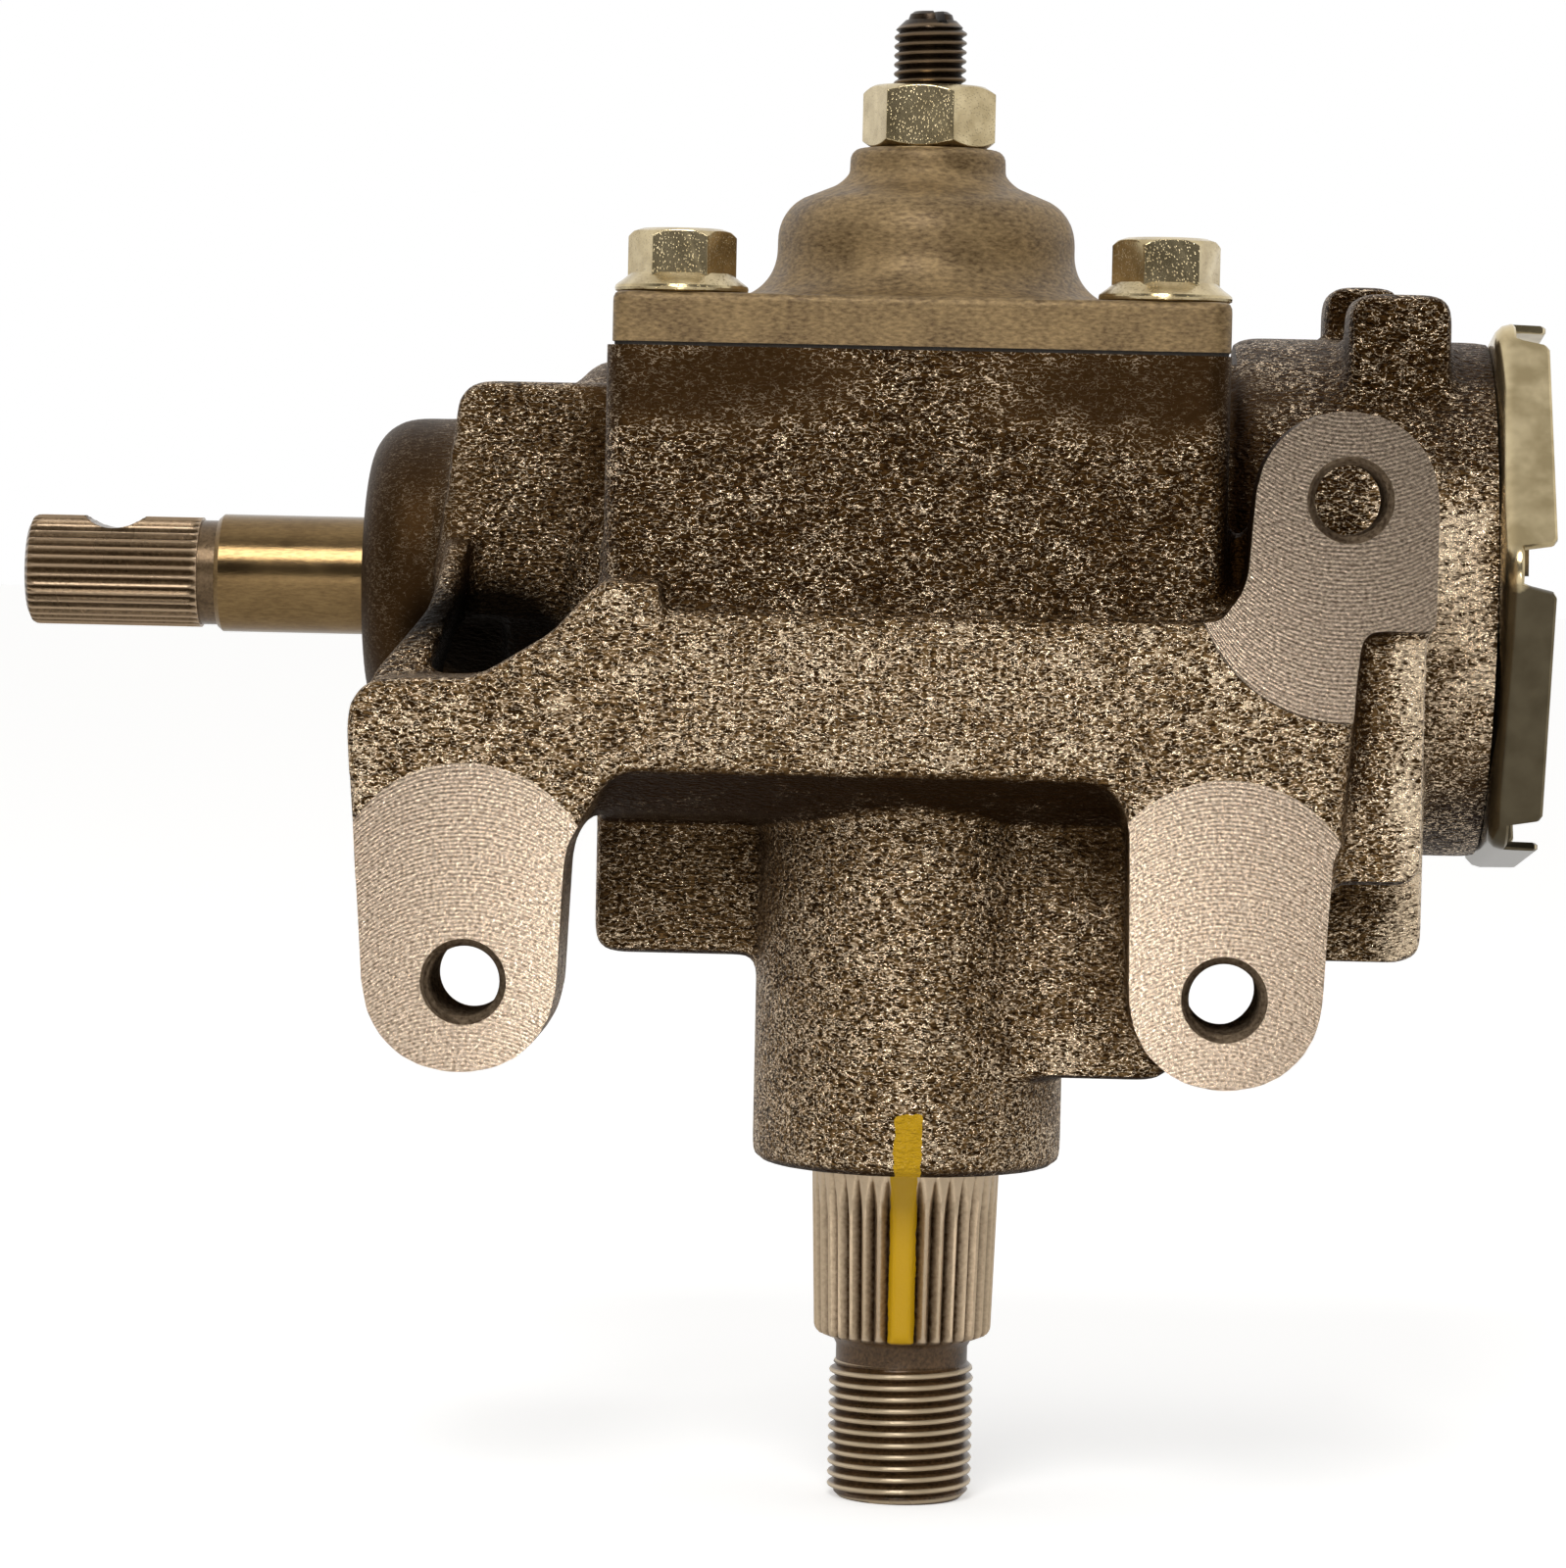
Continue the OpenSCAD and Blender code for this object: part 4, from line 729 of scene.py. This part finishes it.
def stock_on(mesh, axis, level, sign, lift):
    """Slab of stock on the flat faces of a mesh that lie at one level of an axis."""
    bm = bmesh.new()
    bm.from_mesh(mesh)
    bm.faces.ensure_lookup_table()
    loose = [f for f in bm.faces if not (f.normal[axis] * sign > 0.999
                                         and abs(f.calc_center_median()[axis] - level * MM) < 2e-5)]
    bmesh.ops.delete(bm, geom=loose, context="FACES")
    grow = bmesh.ops.extrude_face_region(bm, geom=bm.faces[:])
    shift = Vector((0, 0, 0))
    shift[axis] = sign * (lift + 2) * MM
    bmesh.ops.translate(bm, verts=[v for v in grow["geom"] if isinstance(v, bmesh.types.BMVert)], vec=shift)
    back = Vector((0, 0, 0))
    back[axis] = -sign * 2 * MM
    bmesh.ops.translate(bm, verts=bm.verts, vec=back)
    bmesh.ops.recalc_face_normals(bm, faces=bm.faces)
    out = bpy.data.meshes.new("stock")
    bm.to_mesh(out)
    bm.free()
    return out


def housing():
    solid = cad_copy("gear_housing")
    stock = [stock_on(solid, 1, PAD_Y, -1, PAD_STOCK), stock_on(solid, 2, COVER_Z, 1, STOCK)]
    top, end = COVER_Z + STOCK, END_X + STOCK
    plugs = [post("plug", 60, top, HUB_R + LAP), sweep("plug", 60, top, LAP), post("plug", 0.4, 70, SEAL_R + LAP),
             worm_rod("plug", -58, end, CHAMBER_R + LAP), worm_rod("plug", 55, end, PLUG_R + LAP),
             worm_rod("plug", 70, end, 36.6), worm_rod("plug", BOSS_X + 0.3, -50, WORM_SEAL_R + 1)]
    plugs += [front_rod("plug", *HOLES[h], PAD_Y - PAD_STOCK, y, 6.4)
              for h, y in (("left", -11.4), ("right", -11.4), ("upper", -16.9))]
    plugs += [bolt_rod("plug", bolt, COVER_Z - deep, top, 5) for bolt, deep in zip(BOLTS, (18, 18, 10))]
    skin = cast_skin("gear_housing_casting", [solid, *stock, *plugs], 1.0, 7, 0.5)
    cutters = [
        pad_cutter("pad", "left", 11.4, 18, False), pad_cutter("pad", "right", 11.4, 18, False),
        pad_cutter("pad", "upper", -9.2, 20.5, True),
        box_mesh("cover_plane", (-44, -40, COVER_Z), (44, 70, COVER_Z + 12)),
        box_mesh("end_plane", (END_X, -20, 20), (END_X + 10, 100, 140)),
        post("seal_seat", -3, 9, SEAL_R), post("bush_bore", -3, 70, BUSH_R),
        post("hub_room", 63, COVER_Z + 5, HUB_R), sweep("tooth_room", 63, COVER_Z + 5, 0),
        worm_rod("chamber", -40, END_X + 5, CHAMBER_R), worm_rod("adjuster_bore", 57, END_X + 5, PLUG_R),
        worm_rod("cup_seat", -54, 0, CUP_R), worm_rod("shaft_hole", BOSS_X - 5, 0, SHAFT_HOLE_R),
        worm_rod("worm_seal_seat", BOSS_X - 5, BOSS_X + 7.5, WORM_SEAL_R)]
    for hole, deep in (("left", 19), ("right", 19), ("upper", 13.5)):
        cutters += [countersink("countersink", hole), tapped_hole("tap", hole, deep)]
    mesh = machined(skin, cutters)
    finish_housing(mesh)
    # The softened skin swells a hair past the pads, so it is held to the box of the solids
    for v in mesh.vertices:
        v.co.y = max(v.co.y, cad_box[0][1])
    return mesh


def finish_housing(mesh):
    """Gives machined faces their own finish, and the pads the path of the cutter."""
    mesh.materials.clear()
    for mat in (IRON, MILLED, BORED):
        mesh.materials.append(mat)
    n = len(mesh.polygons)
    centre, normal = np.zeros(n * 3), np.zeros(n * 3)
    mesh.polygons.foreach_get("center", centre)
    mesh.polygons.foreach_get("normal", normal)
    centre, normal = centre.reshape(n, 3) / MM, normal.reshape(n, 3)
    pick = np.zeros(n, int)
    pad = (normal[:, 1] < -0.999) & (np.abs(centre[:, 1] - PAD_Y) < 0.01)
    pick[pad] = 1
    pick[(normal[:, 2] > 0.999) & (np.abs(centre[:, 2] - COVER_Z) < 0.01)] = 2
    pick[(normal[:, 0] > 0.999) & (np.abs(centre[:, 0] - END_X) < 0.01)] = 2
    for x, z in HOLES.values():
        inside = np.hypot(centre[:, 0] - x, centre[:, 2] - z) < COUNTERSINK_R + NEAR
        pick[inside & (centre[:, 1] < 0) & ~pad] = 2
    worm = np.hypot(centre[:, 1] - WORM_Y, centre[:, 2] - WORM_Z)
    pick[(worm < PLUG_R + NEAR) & (centre[:, 0] > 40)] = 2
    pick[(worm < WORM_SEAL_R + NEAR) & (centre[:, 0] < -60)] = 2
    pick[np.hypot(centre[:, 0], centre[:, 1]) < SEAL_R + NEAR] = 2
    mesh.polygons.foreach_set("material_index", pick)
    feed = mesh.attributes.new("feed", "FLOAT_VECTOR", "CORNER")
    path = np.zeros((len(mesh.loops), 3))
    verts = np.zeros(len(mesh.vertices) * 3)
    mesh.vertices.foreach_get("co", verts)
    verts = verts.reshape(-1, 3) / MM
    for face in np.nonzero(pad)[0]:
        hole, sign = ("upper", -1) if centre[face][2] > 62 else ("left" if centre[face][0] < 0 else "right", 1)
        for loop in mesh.polygons[face].loop_indices:
            v = verts[mesh.loops[loop].vertex_index]
            path[loop] = (v[0] - HOLES[hole][0], sign * (v[2] - HOLES[hole][1]), 0)
    feed.data.foreach_set("vector", path.ravel())
    shaded(mesh, 40)


piece("gear_housing_casting", housing(), "housing", "cast_iron", "gear_housing")


# Side cover: skinned in the same way, with its joint face cut flat

def cover():
    solid = cad_copy("side_cover")
    base = COVER_Z + GASKET
    stock = [stock_on(solid, 2, base, -1, 2)]
    plugs = [post("plug", base - 2, 128, 14.8), post("plug", base - 2, 139, 6)]
    plugs += [bolt_rod("plug", bolt, base - 2, base + PLATE_T, 5) for bolt in BOLTS]
    skin = cast_skin("side_cover_casting", [solid, *stock, *plugs], 0.6, 3, 0.6)
    cutters = [box_mesh("joint_plane", (-60, -50, base - 8), (60, 80, base)),
               post("bush_seat", base - 9, 124.5, 14.2), post("shaft_room", base - 9, 126.5, 12),
               post("lash_hole", base - 9, 150, 5)]
    cutters += [bolt_rod("bolt_hole", bolt, base - 9, base + 20, 4.25, 48) for bolt in BOLTS]
    return shaded(painted(machined(skin, cutters), ALLOY), 40)


piece("side_cover_casting", cover(), "housing", "cover_alloy", "side_cover")


# Fasteners

def hexagon(af, turn=0):
    r = af / 2 / math.cos(math.radians(30))
    return [(r * math.cos(math.radians(turn + 60 * i)), r * math.sin(math.radians(turn + 60 * i))) for i in range(6)]


def eased(mesh, width):
    """Mesh with its edges broken."""
    obj = placed(mesh)
    step = obj.modifiers.new("ease", "BEVEL")
    step.width, step.segments, step.limit_method = width * MM, 2, "ANGLE"
    step.angle_limit = math.radians(30)
    return baked(obj, mesh.name)


def flange_bolt():
    """Hex bolt with a rolled flange and a crowned, chamfered head."""
    head = machined(drawn("bolt", hexagon(12.7), 1.0, 8.6), [
        turned("crown", [(0, 0.5), (9, 0.5), (9, 5.4), (7.5, 7.3), (6.6, 8.2), (5.4, 8.6), (0, 8.6)])], "INTERSECT")
    flange = turned("flange", [(0, 0.02), (8.6, 0.02), (8.95, 0.25), (9, 0.6), (8.9, 0.95), (8.6, 1.2), (7.9, 1.7),
                               (7.3, 2.2), (6.9, 2.6), (0, 2.6)])
    shank = turned("shank", [(0, -8), (4, -8), (4, 1), (0, 1)], 48)
    return joined("flange_bolt", [eased(head, 0.22), flange, shank])


bolts = set_out("cover_bolts_plated", flange_bolt(),
                [(x, y, COVER_Z + GASKET + PLATE_T, a) for (x, y), a in zip(BOLTS, (0, 5.5, 15))], ZINC)
piece("cover_bolts_plated", shaded(bolts, 15), "housing", "zinc_plate", "cover_bolts")


def lash_nut():
    """Hex nut, chamfered on both faces."""
    crown = turned("crown", [(0, 0), (7.6, 0), (8.2, 0.35), (9.4, 1.15), (9.4, 7.45), (8.2, 8.25), (7.6, 8.6),
                             (0, 8.6)])
    nut = machined(drawn("nut", hexagon(16.0), 0, 8.6), [crown], "INTERSECT")
    nut = eased(nut, 0.25)
    nut.transform(Matrix.Translation((0, 0, 139.6 * MM)) @ Matrix.Rotation(math.radians(-8), 4, "Z"))
    hole = post("hole", 130, 160, 5.05)
    return shaded(painted(machined(nut, [hole]), ZINC), 15)


piece("lash_lock_nut_plated", lash_nut(), "housing", "zinc_plate", "lash_lock_nut")


def lash_screw():
    """Threaded screw with a slotted tip over a T head."""
    head = turned("head", [(0, 115.3), (7.3, 115.3), (7.6, 115.6), (7.6, 119), (7.3, 119.3), (0, 119.3)])
    rod = stud("rod", r=5.0, pitch=1.25, depth=0.72, length=38.6, chamfer=1.5)
    rod.transform(Matrix.Translation((0, 0, 118.6 * MM)))
    tip = turned("tip", [(0, 150), (3.1, 150), (3.1, 157.4), (2.9, 158.0), (2.3, 158.4), (0, 158.5)], 64)
    slot = box_mesh("slot", (-0.7, -6, 156.7), (0.7, 6, 160))
    slot.transform(Matrix.Rotation(math.radians(25), 4, "Z"))
    return shaded(painted(joined("lash", [head, machined(rod, [slot]), machined(tip, [slot])]), OILY), 30)


piece("lash_adjuster_screw", lash_screw(), "housing", "dark_steel", "lash_adjuster")


# Shafts: the solids inside the box, with their outer ends cut finer

def sector_shaft():
    inside = painted(machined(cad_copy("sector_shaft"), [box_mesh("below", (-40, -40, -60), (40, 40, -0.1))]), GEAR)
    spline = splined("spline", r=12.2, taper=0.031, depth=1.25, half_width=0.98, length=24, chamfer=1.4, runout=7.5,
                     pitches=36, wide=9, rows=64, material=SPLINE_STEEL)
    spline.transform(Matrix.Translation((0, 0, -24 * MM)))
    neck = turned("neck", [(0, -27.6), (9.1, -27.6), (9.1, -25.4), (9.5, -24.6), (10.4, -23.9), (0, -23.9)])
    painted(neck, THREAD_STEEL)
    thread = stud("thread", r=10.0, pitch=1.5875, depth=0.95, length=19.6, chamfer=1.5, material=THREAD_STEEL,
                  steps=96)
    thread.transform(Matrix.Translation((0, 0, -46.5 * MM)))
    return shaded(joined("sector", [inside, spline, neck, thread]), 25)


piece("sector_shaft_cut", sector_shaft(), "sector", "shaft_steel", "sector_shaft")


INPUT_R, NOTCH_X, NOTCH_R, NOTCH_DEEP = 7.95, -117.2, 6.4, 1.8


def worm_shaft():
    inside = painted(machined(cad_copy("worm_shaft"), [box_mesh("outer", (-140, 0, 40), (-76, 80, 120))]), GEAR)
    # The grid rises from the tip, so it is turned to run inwards along the worm
    spline = splined("serration", r=INPUT_R, taper=0, depth=0.62, half_width=0.62, length=25.0, chamfer=1.4,
                     runout=0.8, pitches=36, wide=0, rows=52, material=CUT_STEEL)
    spline.transform(ALONG_WORM @ Matrix.Translation((0, 0, -129.5 * MM)))
    notch = front_rod("notch", NOTCH_X, WORM_Z + INPUT_R + NOTCH_R - NOTCH_DEEP, WORM_Y - 15, WORM_Y + 15, NOTCH_R)
    spline = machined(spline, [painted(notch, CUT_STEEL)])
    neck = painted(worm_rod("neck", -105, -101.7, 7.55), CUT_STEEL)
    journal = turned("journal", [(0, -102), (7.9, -102), (8.5, -101.3), (8.5, -75.9), (0, -75.9)], 128, ALONG_WORM)
    painted(journal, GROUND)
    return shaded(joined("worm", [inside, spline, neck, journal]), 25)


piece("worm_shaft_cut", worm_shaft(), "worm", "shaft_steel", "worm_shaft")


# Lock nut of the bearing adjuster: a stamped hexagon with a bent tab on each flat

LOCK_X, LOCK_FLAT, SHEET_T, LOCK_DEEP, LOCK_TILT = 80.1, 37.3, 1.2, 7.6, -7.5
LOCK_LOW, LOCK_BEND, LOCK_CORNER, TAB_HALF = 3.0, 2.4, 6.0, 17.0


def lock_nut():
    """Pressed cup whose rim is cut low at the corners, so that a tab is left on each flat."""
    straight = (LOCK_FLAT - LOCK_CORNER) * math.tan(math.radians(30))
    stations = []
    for side in range(6):
        turn = Matrix.Rotation(math.radians(60 * side), 2)
        for i in range(48):
            along = straight * (2 * i / 48 - 1)
            stations.append((turn @ Vector((LOCK_FLAT, along)), turn @ Vector((1, 0)), abs(along)))
        for i in range(12):
            a = math.radians(60 * i / 12)
            spot = Vector((LOCK_FLAT - LOCK_CORNER + LOCK_CORNER * math.cos(a), straight + LOCK_CORNER * math.sin(a)))
            stations.append((turn @ spot, turn @ Vector((math.cos(a), math.sin(a))), straight + LOCK_CORNER))
    rows = []
    for spot, out, along in stations:
        # The rim falls to its low height in a rounded corner at each end of the tab
        fall = min(max((along - TAB_HALF) / 1.6, 0), 1)
        top = LOCK_LOW + (LOCK_DEEP - LOCK_LOW) * (1 - fall * fall * (3 - 2 * fall))
        inner = LOCK_BEND - SHEET_T
        bore = spot.normalized() * (PLUG_R + 0.3)
        ring = [(bore, 0), (bore, SHEET_T)]
        for a in (0, 30, 60, 90):
            ring.append((spot - out * (LOCK_BEND - inner * math.sin(math.radians(a))),
                         LOCK_BEND - inner * math.cos(math.radians(a))))
        ring += [(spot - out * SHEET_T, top - 0.35), (spot - out * (SHEET_T - 0.3), top), (spot - out * 0.3, top),
                 (spot, top - 0.35)]
        for a in (90, 60, 30, 0):
            ring.append((spot - out * LOCK_BEND * (1 - math.sin(math.radians(a))),
                         LOCK_BEND * (1 - math.cos(math.radians(a)))))
        rows.append([(p[0] * MM, p[1] * MM, h * MM) for p, h in ring])
    n, m = len(rows), len(rows[0])
    faces = [[i * m + j, (i + 1) % n * m + j, (i + 1) % n * m + (j + 1) % m, i * m + (j + 1) % m]
             for i in range(n) for j in range(m)]
    cup = painted(mesh_from("lock", [v for row in rows for v in row], faces), STAMPED)
    cup.transform(ALONG_WORM @ Matrix.Translation((0, 0, LOCK_X * MM))
                  @ Matrix.Rotation(math.radians(120 + LOCK_TILT), 4, "Z"))
    return shaded(cup, 40)


piece("adjuster_lock_nut_stamped", lock_nut(), "housing", "zinc_plate", "adjuster_lock_nut")


# Solids that already have their real shape keep it and take a finish

for node, finish in {
        "cover_gasket": FIBRE, "lash_shim": BEARING, "cover_bush": BRONZE, "tube_bush": BRONZE,
        "sector_seal": RUBBER, "worm_seal": RUBBER, "upper_bearing_cup": BEARING,
        "upper_bearing_balls": BEARING, "upper_bearing_retainer": BRASS, "lower_bearing_cup": BEARING,
        "lower_bearing_balls": BEARING, "lower_bearing_retainer": BRASS, "ball_nut": NUT_STEEL,
        "ball_train": BEARING, "ball_guides": SHEET, "guide_clamp": SHEET, "clamp_screws": ZINC,
        "bearing_adjuster": TURNED}.items():
    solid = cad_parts[node]
    solid.data.materials.clear()
    solid.data.materials.append(finish)


# Floor, light and camera

FLOOR_Z = cad_box[0][2]


def studio():
    """White paper all round, with a small lamp low in front and a broad one above."""
    corners = [(x, y, FLOOR_Z) for x, y in ((-6, -6), (6, -6), (6, 6), (-6, 6))]
    floor = placed(mesh_from("floor", corners, [[0, 1, 2, 3]]))
    mat, t = new_material("pale_paper_floor")
    path = add(t, "ShaderNodeLightPath")
    paper = add(t, "ShaderNodeBsdfDiffuse", {"Color": srgb("#e9e8e6")})
    seen = calc(t, "MAXIMUM", path.outputs["Is Camera Ray"], path.outputs["Is Transmission Ray"])
    seen = calc(t, "MULTIPLY_ADD", path.outputs["Is Glossy Ray"], 0.25, seen)
    glow = add(t, "ShaderNodeEmission", {"Color": (1, 1, 1, 1), "Strength": calc(t, "MULTIPLY", seen, 0.47)})
    close_material(t, add(t, "ShaderNodeAddShader", {0: paper.outputs[0], 1: glow.outputs[0]}))
    floor.data.materials.append(mat)

    world = bpy.data.worlds.new("white_surround")
    bpy.context.scene.world = world
    world.use_nodes = True
    t = world.node_tree
    t.nodes.clear()
    path = add(t, "ShaderNodeLightPath")
    # The room on the photographer's side is dim, and the paper on the other sides is white
    aim = add(t, "ShaderNodeSeparateXYZ", {0: add(t, "ShaderNodeTexCoord").outputs["Generated"]})
    paper = calc(t, "MULTIPLY_ADD", path.outputs["Is Glossy Ray"], 0.15, 0.85)
    room = add(t, "ShaderNodeMapRange", {"Value": aim.outputs[1], "From Min": -0.75, "From Max": 0.1,
                                         "To Min": 0.1, "To Max": paper}, interpolation_type="SMOOTHSTEP")
    seen = calc(t, "MAXIMUM", path.outputs["Is Camera Ray"], path.outputs["Is Transmission Ray"])
    level = add(t, "ShaderNodeMix", {0: seen, 2: room.outputs[0], 3: 1.0}, data_type="FLOAT")
    sky = add(t, "ShaderNodeBackground", {"Color": (1, 1, 1, 1), "Strength": level.outputs[0]})
    add(t, "ShaderNodeOutputWorld", {"Surface": sky.outputs[0]})

    for name, spot, target, size, power in (
            ("front_light", (-0.028, -0.85, -0.1), (0.0, 0.0, 0.05), 0.16, 5.6),
            ("top_light", (-0.1, -0.75, 0.75), (0.0, 0.0, 0.06), 0.45, 5.0)):
        lamp = bpy.data.lights.new(name, "AREA")
        lamp.shape, lamp.size, lamp.energy = "DISK", size, power
        obj = bpy.data.objects.new(name, lamp)
        obj.location = spot
        obj.rotation_mode = "QUATERNION"
        obj.rotation_quaternion = (Vector(target) - Vector(spot)).to_track_quat("-Z", "Y")
        bpy.context.scene.collection.objects.link(obj)


def camera():
    """Lens, place, aim and roll that lay the solids over the photo."""
    lens = bpy.data.cameras.new("photo_view")
    lens.sensor_width, lens.lens = 36.0, 138.2
    lens.clip_start, lens.clip_end = 0.05, 50.0
    view = bpy.data.objects.new("photo_view", lens)
    bpy.context.scene.collection.objects.link(view)
    view.location = (0.0114, -0.830, 0.0942)
    view.rotation_mode = "QUATERNION"
    aim = Vector((-218.4, 6142.0, -312.7)).to_track_quat("-Z", "Y")
    view.rotation_quaternion = aim @ Quaternion((0, 0, 1), math.radians(1.22))
    bpy.context.scene.camera = view


studio()
camera()
bpy.context.scene.view_settings.view_transform = "Standard"
